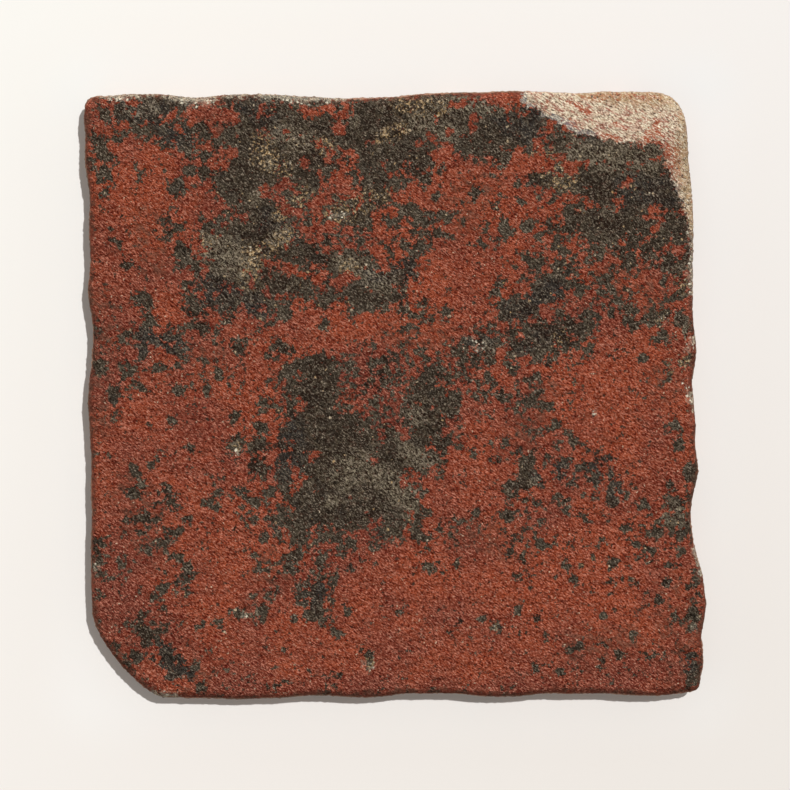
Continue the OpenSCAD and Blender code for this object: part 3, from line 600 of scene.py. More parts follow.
class Tree:
    """A node tree, with short calls for the nodes that the tile and its stage need.

    Its noise is about zero and mostly within 2 of it. The steps on noise and grain are set on that scale.
    """

    def __init__(self, tree: bpy.types.NodeTree) -> None:
        """Takes over an empty tree."""
        self.tree = tree

    @classmethod
    def of(cls, data: bpy.types.Material | bpy.types.World) -> "Tree":
        """Returns the tree of a material or a world, emptied.

        Args:
            data: The material or world.

        Returns:
            Its tree.
        """
        data.use_nodes = True
        data.node_tree.nodes.clear()
        return cls(data.node_tree)

    def socket(self, name: str, kind: str, out: bool = False, value: Value | None = None) -> None:
        """Adds an input or an output to the tree's interface.

        Args:
            name: The socket's name.
            kind: Float, Vector, Geometry, Material or Int.
            out: True for an output.
            value: The input's default.
        """
        way = "OUTPUT" if out else "INPUT"
        made = self.tree.interface.new_socket(name, in_out=way, socket_type=f"NodeSocket{kind}")
        if value is not None:
            made.default_value = value

    def put(self, socket: Socket, value: Value) -> None:
        """Links a value to a socket if it comes from another node, or sets it there.

        Args:
            socket: The socket.
            value: A link, a number, a vector, a colour or a data-block.
        """
        if isinstance(value, Socket):
            self.tree.links.new(value, socket)
        elif isinstance(value, tuple) and len(value) == 3 and socket.type == "RGBA":
            socket.default_value = (*value, 1.0)
        else:
            socket.default_value = value

    def add(self, kind: str, inputs: dict | None = None, **settings: Value) -> bpy.types.Node:
        """Adds a node.

        Args:
            kind: The node's type.
            inputs: Values or links by input name or number.
            settings: The node's own properties.

        Returns:
            The node.
        """
        node = self.tree.nodes.new(kind)
        for name, value in settings.items():
            setattr(node, name, value)
        for key, value in (inputs or {}).items():
            self.put(node.inputs[key], value)
        return node

    def shared(self, group: bpy.types.NodeTree, inputs: dict) -> Sockets:
        """Places a shared shader group with its own values.

        Args:
            group: The group.
            inputs: Values or links by input name.

        Returns:
            Its outputs.
        """
        node = self.add("ShaderNodeGroup", node_tree=group)
        for key, value in inputs.items():
            self.put(node.inputs[key], value)
        return node.outputs

    def math(self, operation: str, *values: Value) -> Socket:
        """Returns the result of a Math node."""
        return self.add("ShaderNodeMath", dict(enumerate(values)), operation=operation).outputs[0]

    def times(self, a: Value, b: Value) -> Socket:
        """Returns a times b."""
        return self.math("MULTIPLY", a, b)

    def plus(self, value: Value, factor: Value, rest: Value) -> Socket:
        """Returns a value times a factor, plus the rest."""
        return self.math("MULTIPLY_ADD", value, factor, rest)

    def vector(self, operation: str, *values: Value) -> Socket:
        """Returns the vector from a Vector Math node."""
        return self.add("ShaderNodeVectorMath", dict(enumerate(values)), operation=operation).outputs[0]

    def scaled(self, vector: Value, factor: Value) -> Socket:
        """Returns a vector times a factor."""
        return self.add("ShaderNodeVectorMath", {0: vector, "Scale": factor}, operation="SCALE").outputs[0]

    def turned(self, place: Value, angle: Value) -> Socket:
        """Returns a place turned about the vertical."""
        inputs = {"Vector": place, "Angle": angle}
        return self.add("ShaderNodeVectorRotate", inputs, rotation_type="Z_AXIS").outputs[0]

    def step(self, value: Value, low: Value, high: Value) -> Socket:
        """Returns a smooth step from 0 at low to 1 at high."""
        inputs = {0: value, 1: low, 2: high}
        return self.add("ShaderNodeMapRange", inputs, interpolation_type="SMOOTHSTEP").outputs[0]

    def span(self, value: Value, low: Value, high: Value, to_low: Value, to_high: Value) -> Socket:
        """Returns the value carried from one range to another, level past its ends."""
        return self.add("ShaderNodeMapRange", {0: value, 1: low, 2: high, 3: to_low, 4: to_high}).outputs[0]

    def blend(self, share: Value, a: Value, b: Value) -> Socket:
        """Returns a number mixed from two."""
        return self.add("ShaderNodeMix", {0: share, 2: a, 3: b}).outputs[0]

    def mix(self, share: Value, a: Value, b: Value, blend: str = "MIX") -> Socket:
        """Returns a colour mixed from two."""
        inputs = {0: share, 6: a, 7: b}
        return self.add("ShaderNodeMix", inputs, data_type="RGBA", blend_type=blend).outputs[2]

    def lay(self, colour: Value, mask: Value, share: Value, tint: Value) -> Socket:
        """Returns a colour with a share of a tint laid over it through a mask."""
        return self.mix(self.times(mask, share), colour, tint)

    def coat(self, colour: Value, tint: Value, coat: Coat, pattern: Value,
             within: Value | None = None) -> Socket:
        """Lays a tint on where a pattern calls for it.

        Args:
            colour: The colour under it.
            tint: The tint.
            coat: How it goes on.
            pattern: The pattern that it follows.
            within: A mask that it stays within, if any.

        Returns:
            The colour.
        """
        mask = self.step(pattern, coat.start, coat.full)
        if within is not None:
            mask = self.times(within, mask)
        if coat.share < 1.0:
            mask = self.times(mask, coat.share)
        return self.mix(mask, colour, tint)

    def noise(self, place: Value, size: Value, detail: float = 2.0, rough: float = 0.5) -> Socket:
        """Makes fractal noise about zero.

        Args:
            place: Where it is read, in millimetres.
            size: Its period in millimetres.
            detail: The number of its finer octaves.
            rough: How much of each octave goes on to the next.

        Returns:
            The noise.
        """
        scale = self.math("DIVIDE", 1.0, size) if isinstance(size, Socket) else 1.0 / size
        inputs = {"Vector": place, "Scale": scale, "Detail": detail, "Roughness": rough}
        return self.plus(self.add("ShaderNodeTexNoise", inputs).outputs[0], 10.0, -5.0)

    def cells(self, place: Value, size: Value) -> Sockets:
        """Returns the outputs of a pattern of cells, each about a size across."""
        inputs = {"Vector": place, "Scale": self.math("DIVIDE", 1.0, size)}
        return self.add("ShaderNodeTexVoronoi", inputs).outputs


class Effects:
    """The shader groups that the layers of the material share, each built once."""

    def __init__(self) -> None:
        """Builds every group."""
        self.ragged = self.ragged_edge()
        self.sand = self.sand_grain()
        self.crumbs = self.crumb_mask()

    @staticmethod
    def start(name: str, sizes: dict[str, float], results: tuple[str, ...]) -> tuple[Tree, Sockets]:
        """Starts a group that is drawn over a place.

        Args:
            name: The group's name.
            sizes: Its number inputs, with their defaults.
            results: Its number outputs.

        Returns:
            Its tree, and the outputs of its input node.
        """
        t = Tree(bpy.data.node_groups.new(name, "ShaderNodeTree"))
        t.socket("Place", "Vector")
        for size, value in sizes.items():
            t.socket(size, "Float", value=value)
        for result in results:
            t.socket(result, "Float", out=True)
        return t, t.add("NodeGroupInput").outputs

    def ragged_edge(self) -> bpy.types.NodeTree:
        """Makes the group that breaks the border of a worn field into ragged tongues and islands.

        Returns:
            A group from Place, Field, Size, Raggedness and Softness to Mask.
        """
        sizes = {"Field": 0.0, "Size": 6.0, "Raggedness": 0.4, "Softness": 0.06}
        t, i = self.start("Ragged edge", sizes, ("Mask",))
        broad = t.noise(i["Place"], i["Size"], detail=4.0, rough=0.62)
        away = t.vector("ADD", i["Place"], (31.0, 17.0, 5.0))
        fine = t.noise(away, t.times(i["Size"], 0.42), detail=4.0, rough=0.66)
        level = t.plus(t.plus(fine, 0.75, broad), i["Raggedness"], i["Field"])
        t.add("NodeGroupOutput", {"Mask": t.step(level, t.times(i["Softness"], -1.0), i["Softness"])})
        return t.tree

    def sand_grain(self) -> bpy.types.NodeTree:
        """Makes the group for the sandy body: packed grains, each with a tone of its own.

        Returns:
            A group from Place, Size, Stretch and Turn to Grain and Fine, each about zero, and Height.
        """
        sizes = {"Size": 1.0, "Stretch": 1.5, "Turn": 0.7}
        t, i = self.start("Sand grain", sizes, ("Grain", "Fine", "Height"))
        narrow = t.math("DIVIDE", 1.0, i["Stretch"])
        along = t.add("ShaderNodeCombineXYZ", {0: narrow, 1: 1.0, 2: 1.0}).outputs[0]
        place = t.vector("MULTIPLY", t.turned(i["Place"], i["Turn"]), along)
        cells = t.cells(place, i["Size"])
        tone = t.add("ShaderNodeSeparateColor", {0: cells["Color"]}).outputs[0]
        cloud = t.noise(place, t.times(i["Size"], 2.2), detail=3.0, rough=0.65)
        away = t.vector("ADD", place, (3.0, 8.0, 2.0))
        powder = t.noise(away, t.times(i["Size"], 1.2), rough=0.8)
        grain = t.plus(t.math("SUBTRACT", tone, 0.5), 2.0, t.times(cloud, 0.2))
        grain = t.plus(powder, 1.15, grain)
        away = t.vector("ADD", place, (9.0, 4.0, 7.0))
        fine = t.noise(away, t.times(i["Size"], 1.3), rough=0.75)
        height = t.plus(fine, 0.5, t.plus(cells["Distance"], -1.6, cloud))
        t.add("NodeGroupOutput", {"Grain": grain, "Fine": fine, "Height": height})
        return t.tree

    def crumb_mask(self) -> bpy.types.NodeTree:
        """Makes the group for loose crumbs and pores, as uneven spots in some of the cells.

        Returns:
            A group from Place, Size, Share and Fullness to Mask and Pick, a random value of each crumb.
        """
        sizes = {"Size": 1.5, "Share": 0.2, "Fullness": 0.4}
        t, i = self.start("Crumbs", sizes, ("Mask", "Pick"))
        shake = {"Vector": i["Place"], "Scale": 1.1, "Detail": 2.0}
        shaken = t.add("ShaderNodeTexNoise", shake).outputs["Color"]
        place = t.vector("ADD", i["Place"], t.scaled(t.vector("SUBTRACT", shaken, (0.5, 0.5, 0.5)), 1.3))
        cells = t.cells(place, i["Size"])
        split = t.add("ShaderNodeSeparateColor", {0: cells["Color"]}).outputs
        chosen = t.math("LESS_THAN", split[0], i["Share"])
        width = t.times(i["Fullness"], t.span(split[1], 0.0, 1.0, 0.5, 1.1))
        inside = t.step(cells["Distance"], width, t.times(width, 0.6))
        t.add("NodeGroupOutput", {"Mask": t.times(chosen, inside), "Pick": split[2]})
        return t.tree


@dataclass
class WearMap:
    """The wear of the face, as fields over the plane of the tile.

    Softness is in millimetres, or a share of a stroke's radius for the small spots. The bare field
    runs from ground, in whole skin, to deepest, in the middle of a mass. The other levels are its
    limits in mixed places.
    """

    mass_softness: float = 4.2
    spot_softness: float = 1.15
    least_softness: float = 1.1
    lime_softness: float = 2.0
    ground: float = -1.15
    speckled: float = -0.80
    dense: float = -0.48
    half_bare: float = -0.05
    flecked: float = 0.55
    deepest: float = 1.45
    soft_inner: float = 0.35
    soft_outer: float = 1.25
    lime_range: Span = (-2.0, 1.5)
    flake_range: Span = (-8.0, 16.0)

    @staticmethod
    def reach(place: np.ndarray, start: np.ndarray, end: np.ndarray) -> tuple[np.ndarray, np.ndarray]:
        """Measures points against a straight stretch.

        Args:
            place: Points as rows of (x, y).
            start: Where the stretch starts.
            end: Where it ends.

        Returns:
            How far each point is from the stretch, and how far along it the nearest place is, from 0 to 1.
        """
        run = end - start
        along = np.clip((place - start) @ run / max(float(run @ run), TINY), 0.0, 1.0)
        return np.hypot(*(place - start - along[:, None] * run).T), along

    def gaps(self, chains: tuple[Chain, ...], place: np.ndarray) -> list[tuple[np.ndarray, np.ndarray]]:
        """Measures each stroke of some chains.

        Args:
            chains: Chains of (x, y, radius).
            place: Points as rows of (x, y).

        Returns:
            For each stroke, the distance from its spine and its radius there, for every point.
        """
        found = []
        for chain in chains:
            for start, end in zip(chain, chain[1:] or chain):
                away, along = self.reach(place, np.array(start[:2]), np.array(end[:2]))
                found.append((away, start[2] + (end[2] - start[2]) * along))
        return found

    def hard(self, chains: tuple[Chain, ...], place: np.ndarray, share: float, most: float) -> np.ndarray:
        """Draws chains with a border.

        Args:
            chains: The strokes.
            place: Points as rows of (x, y).
            share: Softness of a border, as a share of the stroke's radius.
            most: The most that softness may be.

        Returns:
            A field that is 0 on the border of the strokes, 1 well inside and negative outside.
        """
        level = np.full(len(place), -FAR_OUT)
        for away, radius in self.gaps(chains, place):
            level = np.maximum(level, (radius - away) / np.clip(radius * share, self.least_softness, most))
        return level

    def soft(self, chains: tuple[Chain, ...], place: np.ndarray) -> np.ndarray:
        """Draws chains that fade out.

        Args:
            chains: The strokes.
            place: Points as rows of (x, y).

        Returns:
            A field that is 1 in the middle of the strokes and fades to 0 around them.
        """
        level = np.zeros(len(place))
        for away, radius in self.gaps(chains, place):
            t = np.clip((away / radius - self.soft_inner) / (self.soft_outer - self.soft_inner), 0.0, 1.0)
            level = np.maximum(level, 1.0 - t * t * (3.0 - 2.0 * t))
        return level

    def bare(self, place: np.ndarray) -> np.ndarray:
        """Works out how bare the face is.

        Args:
            place: Points as rows of (x, y).

        Returns:
            A field that is above 0 where the skin is gone and below 0 where it is whole.
        """
        level = self.hard(BARE_MASSES, place, 1.0, self.mass_softness)
        level = np.maximum(level, self.hard(BARE_SPOTS, place, self.spot_softness, self.mass_softness))
        level = np.minimum(level, -self.hard(SKIN_ISLANDS, place, self.spot_softness, self.mass_softness))
        floor = self.ground + (self.speckled - self.ground) * self.soft(SPECKLED, place)
        floor = np.maximum(floor, self.ground + (self.dense - self.ground) * self.soft(DENSE, place))
        ceiling = self.deepest + (self.flecked - self.deepest) * self.soft(FLECKED, place)
        level = np.clip(level, floor, ceiling)
        mixed = self.soft(HALF_BARE, place)
        return level * (1.0 - mixed) + np.maximum(level, self.half_bare) * mixed

    def outline_gap(self, line: np.ndarray, place: np.ndarray) -> np.ndarray:
        """Measures points against a closed line.

        Args:
            line: The line's corners, as rows of (x, y).
            place: Points as rows of (x, y).

        Returns:
            Each point's distance from the line.
        """
        gap = np.full(len(place), FAR_OUT)
        for start, end in zip(line, np.roll(line, -1, axis=0)):
            gap = np.minimum(gap, self.reach(place, start, end)[0])
        return gap

    def flake(self, place: np.ndarray) -> np.ndarray:
        """Works out how far points lie within the flaked corner.

        Args:
            place: Points as rows of (x, y).

        Returns:
            Each point's distance from the break line, negative outside the flaked corner.
        """
        line = np.array(BREAK_LINE)
        inside = np.zeros(len(place), dtype=bool)
        x, y = place.T
        for (ax, ay), (bx, by) in zip(line, np.roll(line, -1, axis=0)):
            rise = by - ay if by != ay else TINY
            inside ^= ((ay > y) != (by > y)) & (x < (bx - ax) * (y - ay) / rise + ax)
        return self.outline_gap(line, place) * np.where(inside, 1.0, -1.0)

    def fields(self, place: np.ndarray) -> dict[Wear, np.ndarray]:
        """Works out every field of the face.

        Args:
            place: Points as rows of (x, y).

        Returns:
            The fields by kind of wear.
        """
        return {
            Wear.BARE: self.bare(place),
            Wear.KHAKI: self.soft(KHAKI, place),
            Wear.SOOT: self.soft(SOOT, place),
            Wear.OCHRE: self.soft(OCHRE, place),
            Wear.CREAM: self.hard(CREAM, place, 1.0, self.lime_softness).clip(*self.lime_range),
            Wear.BROWN: self.soft(BROWN, place),
            Wear.RUBBED: self.soft(RUBBED, place),
            Wear.TONE: self.soft(BRIGHT, place) - self.soft(DULL, place),
            Wear.FLAKE: self.flake(place).clip(*self.flake_range),
        }


@dataclass
class Relief:
    """The relief of the worn surface as Geometry Nodes. Heights and sizes are in millimetres."""

    INPUT_ENDINGS: ClassVar[tuple[str, ...]] = ("_height", "_size", "_growth", "_step", "_loss")

    lump_height: float = 0.085
    lump_size: float = 7.0
    lump_growth: float = 3.0
    pucker_height: float = 0.045
    pucker_size: float = 2.6
    pucker_growth: float = 0.9
    knob_height: float = 0.28
    skin_step: float = 0.13
    chip_height: float = 0.22
    chip_size: float = 4.6
    hewn_height: float = 0.10
    hewn_size: float = 7.0
    side_loss: float = 0.7
    under_loss: float = 0.75
    pucker_off: Offset = (57.0, 21.0, 33.0)
    hewn_off: Offset = (5.0, 77.0, 13.0)
    bare_from: Span = (-0.5, 0.5)
    flaked_from: Span = (-0.3, 1.2)
    side_from: Span = (0.7, 0.2)
    under_from: Span = (-0.3, -0.7)
    shift: float = 400.0
    seed: int = 11

    def sizes(self) -> dict[str, float]:
        """Returns the tree's number inputs by name."""
        sizes = {name: size for name, size in vars(self).items() if name.endswith(self.INPUT_ENDINGS)}
        return {name.replace("_", " ").capitalize(): size for name, size in sizes.items()}

    def tree(self) -> bpy.types.NodeTree:
        """Builds the tree.

        Returns:
            A Geometry Nodes tree with an input for each size, the seed and the material.
        """
        t = Tree(bpy.data.node_groups.new("Worn relief", "GeometryNodeTree"))
        t.socket("Geometry", "Geometry")
        for name in self.sizes():
            t.socket(name, "Float")
        t.socket("Seed", "Int")
        t.socket("Material", "Material")
        t.socket("Geometry", "Geometry", out=True)
        i = t.add("NodeGroupInput").outputs
        reach = {0: (-self.shift,) * 3, 1: (self.shift,) * 3, "ID": 0, "Seed": i["Seed"]}
        shift = t.add("FunctionNodeRandomValue", reach, data_type="FLOAT_VECTOR").outputs[0]
        place = t.vector("ADD", t.scaled(t.add("GeometryNodeInputPosition").outputs[0], 1.0 / MM), shift)
        held = {w: t.add("GeometryNodeInputNamedAttribute", {"Name": w.value}, data_type="FLOAT").outputs[0]
                for w in (Wear.BARE, Wear.KHAKI, Wear.FLAKE, Wear.LEAN)}
        bare = t.step(held[Wear.BARE], *self.bare_from)
        flaked = t.step(held[Wear.FLAKE], *self.flaked_from)
        side = t.step(held[Wear.LEAN], *self.side_from)
        under = t.step(held[Wear.LEAN], *self.under_from)
        face = t.math("SUBTRACT", 1.0, t.times(side, i["Side loss"]))
        lumps = t.times(t.noise(place, i["Lump size"]), i["Lump height"])
        lumps = t.times(lumps, t.plus(bare, i["Lump growth"], 1.0))
        far = t.vector("ADD", place, self.pucker_off)
        puckers = t.times(t.noise(far, i["Pucker size"], detail=1.0), i["Pucker height"])
        puckers = t.times(puckers, t.plus(bare, i["Pucker growth"], 1.0))
        chips = t.times(t.noise(far, i["Chip size"], rough=0.6), i["Chip height"])
        hewn = t.noise(t.vector("ADD", place, self.hewn_off), i["Hewn size"])
        height = t.times(t.math("ADD", lumps, puckers), face)
        height = t.plus(t.times(held[Wear.KHAKI], bare), i["Knob height"], height)
        height = t.math("SUBTRACT", height, t.times(bare, i["Skin step"]))
        height = t.plus(chips, t.times(flaked, face), height)
        height = t.plus(t.times(hewn, i["Hewn height"]), side, height)
        calm = t.math("SUBTRACT", 1.0, t.times(under, i["Under loss"]))
        moved = t.scaled(t.add("GeometryNodeInputNormal").outputs[0], t.times(t.times(height, calm), MM))
        shape = t.add("GeometryNodeSetPosition", {"Geometry": i["Geometry"], "Offset": moved}).outputs[0]
        shape = t.add("GeometryNodeRealizeInstances", {"Geometry": shape}).outputs[0]
        shape = t.add("GeometryNodeSetMaterial", {"Geometry": shape, "Material": i["Material"]}).outputs[0]
        t.add("NodeGroupOutput", {"Geometry": shape})
        return t.tree

    def apply(self, piece: bpy.types.Object, material: bpy.types.Material) -> bpy.types.Mesh:
        """Works the relief into a piece, and takes the modifier off again.

        Args:
            piece: The piece, with the wear attributes on its mesh.
            material: The material of the result.

        Returns:
            The plain mesh.
        """
        values = {**self.sizes(), "Seed": self.seed, "Material": material}
        worn = piece.modifiers.new("Worn relief", "NODES")
        worn.node_group = self.tree()
        for item in worn.node_group.interface.items_tree:
            if item.in_out == "INPUT" and item.name in values:
                worn[item.identifier] = values[item.name]
        return plain_mesh(piece)


def plain_mesh(piece: bpy.types.Object) -> bpy.types.Mesh:
    """Applies the modifiers of a piece.

    Args:
        piece: The piece. Its modifiers are removed.

    Returns:
        The evaluated mesh.
    """
    graph = bpy.context.evaluated_depsgraph_get()
    mesh = bpy.data.meshes.new_from_object(piece.evaluated_get(graph), depsgraph=graph)
    piece.modifiers.clear()
    return mesh


class Ground:
    """What every layer of the material is drawn on: the place, the wear and two sandy grains."""

    def __init__(self, tree: Tree, effects: Effects) -> None:
        """Reads the place and the wear, and makes the grains.

        Args:
            tree: The material's tree.
            effects: The shared groups.
        """
        self.tree, self.effects = tree, effects
        self.place = tree.scaled(tree.add("ShaderNodeTexCoord").outputs["Object"], 1.0 / MM)
        self.held = {wear: self.stored(wear) for wear in Wear}
        sand = {"Place": self.place, "Size": 0.36, "Stretch": 2.0, "Turn": 0.7}
        self.sand = tree.shared(effects.sand, sand)
        skin_sand = {"Place": self.place, "Size": 0.30, "Stretch": 2.6, "Turn": 0.62}
        self.skin_sand = tree.shared(effects.sand, skin_sand)

    def stored(self, wear: Wear) -> Socket:
        """Returns a field of the wear, as it is stored on the mesh."""
        return self.tree.add("ShaderNodeAttribute", attribute_name=wear.value).outputs["Fac"]

    def drawn(self, off: Offset, turn: float = 0.0, stretch: float = 1.0) -> Socket:
        """Returns the place turned, drawn out along x and moved off.

        Args:
            off: How far it is moved, so that a pattern lines up with no other.
            turn: Its turn about the vertical, in radians.
            stretch: The share that x counts for.

        Returns:
            The place to read a pattern at.
        """
        place = self.place
        if turn:
            place = self.tree.turned(place, turn)
        if stretch != 1.0:
            place = self.tree.vector("MULTIPLY", place, (stretch, 1.0, 1.0))
        return self.tree.vector("ADD", place, off) if any(off) else place

    def noise(self, pattern: Pattern) -> Socket:
        """Returns a noise about zero."""
        place = self.drawn(pattern.off, pattern.turn, pattern.stretch)
        return self.tree.noise(place, pattern.size, pattern.detail, pattern.rough)

    def ragged(self, worn: Value, border: Border, place: Value | None = None) -> Socket:
        """Breaks up the border of a worn field.

        Args:
            worn: The field, 0 on its border.
            border: How the border breaks up.
            place: Where the tongues are drawn, if not on the plain place.

        Returns:
            The mask.
        """
        inputs = {"Place": self.place if place is None else place, "Field": worn, "Size": border.size,
                  "Raggedness": border.raggedness, "Softness": border.softness}
        return self.tree.shared(self.effects.ragged, inputs)["Mask"]

    def crumbs(self, crumbs: Crumbs, amount: Value | None = None) -> Sockets:
        """Strews crumbs or pores.

        Args:
            crumbs: What they are like.
            amount: The share of the cells that hold one, if it isn't the same all over.

        Returns:
            The outputs Mask and Pick.
        """
        inputs = {"Place": self.drawn(crumbs.off), "Size": crumbs.size, "Fullness": crumbs.fullness,
                  "Share": crumbs.amount if amount is None else amount}
        return self.tree.shared(self.effects.crumbs, inputs)


@dataclass(frozen=True)
class FiredClay:
    """The material of the whole tile, laid on in layers."""

    skin: SkinFinish = field(default_factory=SkinFinish)
    bare: BareFinish = field(default_factory=BareFinish)
    rim: RimFinish = field(default_factory=RimFinish)
    limed: LimeAndHighlightFinish = field(default_factory=LimeAndHighlightFinish)
    clay: ClayFinish = field(default_factory=ClayFinish)
    side: SideFinish = field(default_factory=SideFinish)
    worn_border: Border = Border(3.6, 0.62, 0.12)
    more_bare: float = 0.08
    specular: float = 0.18
    refraction: float = 1.45
    roughness: Ramp = (-1.5, 1.5, 0.80, 0.97)

    def build(self, effects: Effects) -> bpy.types.Material:
        """Builds the material.

        Args:
            effects: The shared groups.

        Returns:
            The material.
        """
        material = bpy.data.materials.new("Worn fired clay")
        t = Tree.of(material)
        ground = Ground(t, effects)
        skin_colour, skin_height = self.skin_layer(ground)
        bare_colour, bare_height = self.bare_layer(ground)
        worn = ground.ragged(t.math("ADD", ground.held[Wear.BARE], self.more_bare), self.worn_border)
        colour = t.mix(worn, skin_colour, bare_colour)
        height = t.blend(worn, skin_height, bare_height)
        height = t.plus(t.math("SUBTRACT", 1.0, worn), self.skin.thickness, height)
        colour = self.edges(ground, colour)
        colour, height = self.sides(ground, colour, height)
        colour = self.lime(ground, colour)
        colour, height = self.flaked(ground, colour, height)
        bump = t.add("ShaderNodeBump", {"Strength": 1.0, "Distance": MM, "Height": height}).outputs[0]
        rough = t.span(ground.sand["Grain"], *self.roughness)
        surface = {"Base Color": colour, "Roughness": rough, "Normal": bump, "IOR": self.refraction,
                   "Specular IOR Level": self.specular}
        shader = t.add("ShaderNodeBsdfPrincipled", surface)
        t.add("ShaderNodeOutputMaterial", {"Surface": shader.outputs[0]})
        return material

    def skin_layer(self, ground: Ground) -> tuple[Socket, Socket]:
        """Draws the red skin: duller and brighter places, a mottle of painted shade and painted light,
        stretched grains with painted glints, brown stains, pale grains that are partly painted highlights,
        and pits.

        Args:
            ground: The ground that it is drawn on.

        Returns:
            Its colour and its height in millimetres.
        """
        t, held, skin = ground.tree, ground.held, self.skin
        grain, fine = ground.skin_sand["Grain"], ground.skin_sand["Fine"]
        mottle = ground.noise(skin.mottle)
        tone = t.times(ground.noise(skin.broad), skin.tone_by_place)
        tone = t.plus(held[Wear.TONE], skin.tone_by_zone, tone)
        colour = t.coat(skin.dull, skin.body, skin.full_red, tone)
        # painted shade and painted light of the small relief, by the stretched mottle
        colour = t.coat(colour, skin.dull, skin.shaded, mottle)
        colour = t.coat(colour, skin.bright, skin.lit, mottle)
        # painted glints on the grains
        colour = t.coat(colour, skin.bright, skin.light_grain, grain)
        colour = t.coat(colour, skin.pore, skin.dark_grain, grain)
        colour = t.coat(colour, skin.pore, skin.fine_pores, fine)
        colour = t.coat(colour, skin.stain, skin.stained, mottle, held[Wear.BROWN])
        # pale grains, partly painted highlights like those on the rims of pits
        pale = ground.crumbs(skin.pale_grains)["Mask"]
        colour = t.lay(colour, pale, skin.pale_grains.share, skin.grain)
        pin = ground.crumbs(skin.pin_holes)["Mask"]
        colour = t.lay(colour, pin, skin.pin_holes.share, skin.pit)
        pit = ground.crumbs(skin.pits, t.span(held[Wear.BARE], *skin.pit_amount))["Mask"]
        colour = t.lay(colour, pit, skin.pits.share, skin.pit)
        height = t.times(ground.skin_sand["Height"], skin.grain_height)
        height = t.plus(ground.noise(skin.lumps), skin.lump_height, height)
        height = t.plus(ground.noise(skin.swell), skin.swell_height, height)
        return colour, t.plus(pit, -skin.pit_depth, height)

    def bare_layer(self, ground: Ground) -> tuple[Socket, Socket]:
        """Draws the weathered body: paler places that are partly painted highlights on its lumps, smoked
        places, painted highlights along its ridges, rust, sand, pores and ochre crumbs.

        Args:
            ground: The ground that it is drawn on.

        Returns:
            Its colour and its height in millimetres.
        """
        t, held, bare = ground.tree, ground.held, self.bare
        grain, fine = ground.sand["Grain"], ground.sand["Fine"]
        patch, tuft = ground.noise(bare.patch), ground.noise(bare.tuft)
        # paler places, partly painted highlights on the lumps of the bare body
        khaki = t.plus(patch, bare.khaki_by_patch, t.times(held[Wear.KHAKI], bare.khaki_by_zone))
        khaki = t.plus(tuft, bare.khaki_by_tuft, khaki)
        colour = t.coat(bare.body, bare.khaki, bare.khaki_cover, khaki)
        colour = t.coat(colour, bare.thin, bare.thin_cover, held[Wear.BARE])
        soot = t.plus(patch, bare.soot_by_patch, t.times(held[Wear.SOOT], bare.soot_by_zone))
        colour = t.coat(colour, bare.soot, bare.soot_cover, soot)
        shade = t.plus(tuft, bare.shade_by_tuft, ground.noise(bare.shade))
        colour = t.coat(colour, bare.pore, bare.shade_cover, shade)
        # painted highlights along ridges, as strands where the paler places gather
        gathered = t.math("POWER", held[Wear.KHAKI], bare.straw_gather)
        colour = t.coat(colour, bare.straw, bare.straw_cover, ground.noise(bare.strands), gathered)
        colour = t.coat(colour, bare.khaki, bare.wisp_cover, ground.noise(bare.wisps))
        colour = t.coat(colour, bare.rust, bare.rust_cover, ground.noise(bare.scale))
        sand_start, sand_full = (t.span(held[Wear.KHAKI], *r) for r in (bare.sand_start, bare.sand_full))
        sand = t.step(grain, sand_start, sand_full)
        colour = t.lay(colour, sand, t.span(patch, *bare.sand_share), bare.sand)
        pores = t.step(grain, bare.pore_start, t.span(held[Wear.KHAKI], *bare.pore_full))
        colour = t.mix(pores, colour, bare.pore)
        colour = t.coat(colour, bare.pore, bare.fine_pores, fine)
        curl = ground.noise(bare.curl)
        gold = t.coat(bare.ochre, bare.cream, bare.pale_ochre, curl)
        colour = t.coat(colour, gold, bare.ochre_cover, curl, held[Wear.OCHRE])
        crumbs = ground.crumbs(bare.crumbs, t.span(held[Wear.OCHRE], *bare.crumb_amount))
        tint = t.mix(crumbs["Pick"], bare.ochre, bare.cream)
        colour = t.lay(colour, crumbs["Mask"], bare.crumbs.share, tint)
        height = t.plus(tuft, bare.tuft_height, t.times(ground.sand["Height"], bare.grain_height))
        return colour, t.plus(patch, bare.patch_height, height)

    def edges(self, ground: Ground, colour: Value) -> Socket:
        """Rubs the face dull along its arrises.

        Args:
            ground: The ground that it is drawn on.
            colour: The colour so far.

        Returns:
            The colour.
        """
        t, grain, rim = ground.tree, ground.sand["Grain"], self.rim
        mask = ground.ragged(t.span(ground.held[Wear.EDGE], *rim.width), rim.border)
        tone = t.coat(self.skin.dull, self.skin.stain, rim.stained, ground.noise(rim.cloud))
        tone = t.coat(tone, self.clay.edge, rim.light_grain, grain)
        tone = t.coat(tone, self.bare.pore, rim.dark_grain, grain)
        return t.lay(colour, mask, rim.share, tone)

    def lime(self, ground: Ground, colour: Value) -> Socket:
        """Lays pale lime along the upper edges and, as crumbs, in pits. Along the arris that faces the
        light it is partly painted highlight.

        Args:
            ground: The ground that it is drawn on.
            colour: The colour so far.

        Returns:
            The colour.
        """
        t, limed, near, lean = ground.tree, self.limed, ground.held[Wear.CREAM], ground.held[Wear.LEAN]
        pale = t.times(ground.ragged(near, limed.border), t.step(lean, *limed.upward))
        cream = t.coat(self.bare.cream, self.clay.grey, limed.grey_grain, ground.sand["Grain"])
        cream = t.coat(cream, self.bare.pore, limed.fine_pores, ground.sand["Fine"])
        # pale lime, partly painted highlight where the upper arris faces the light
        colour = t.lay(colour, pale, t.span(lean, *limed.share), cream)
        crumb = ground.crumbs(limed.crumbs)["Mask"]
        amount = t.times(t.step(near, *limed.crumbs_near), t.step(lean, *limed.crumbs_upward))
        return t.lay(colour, crumb, amount, self.clay.pale)

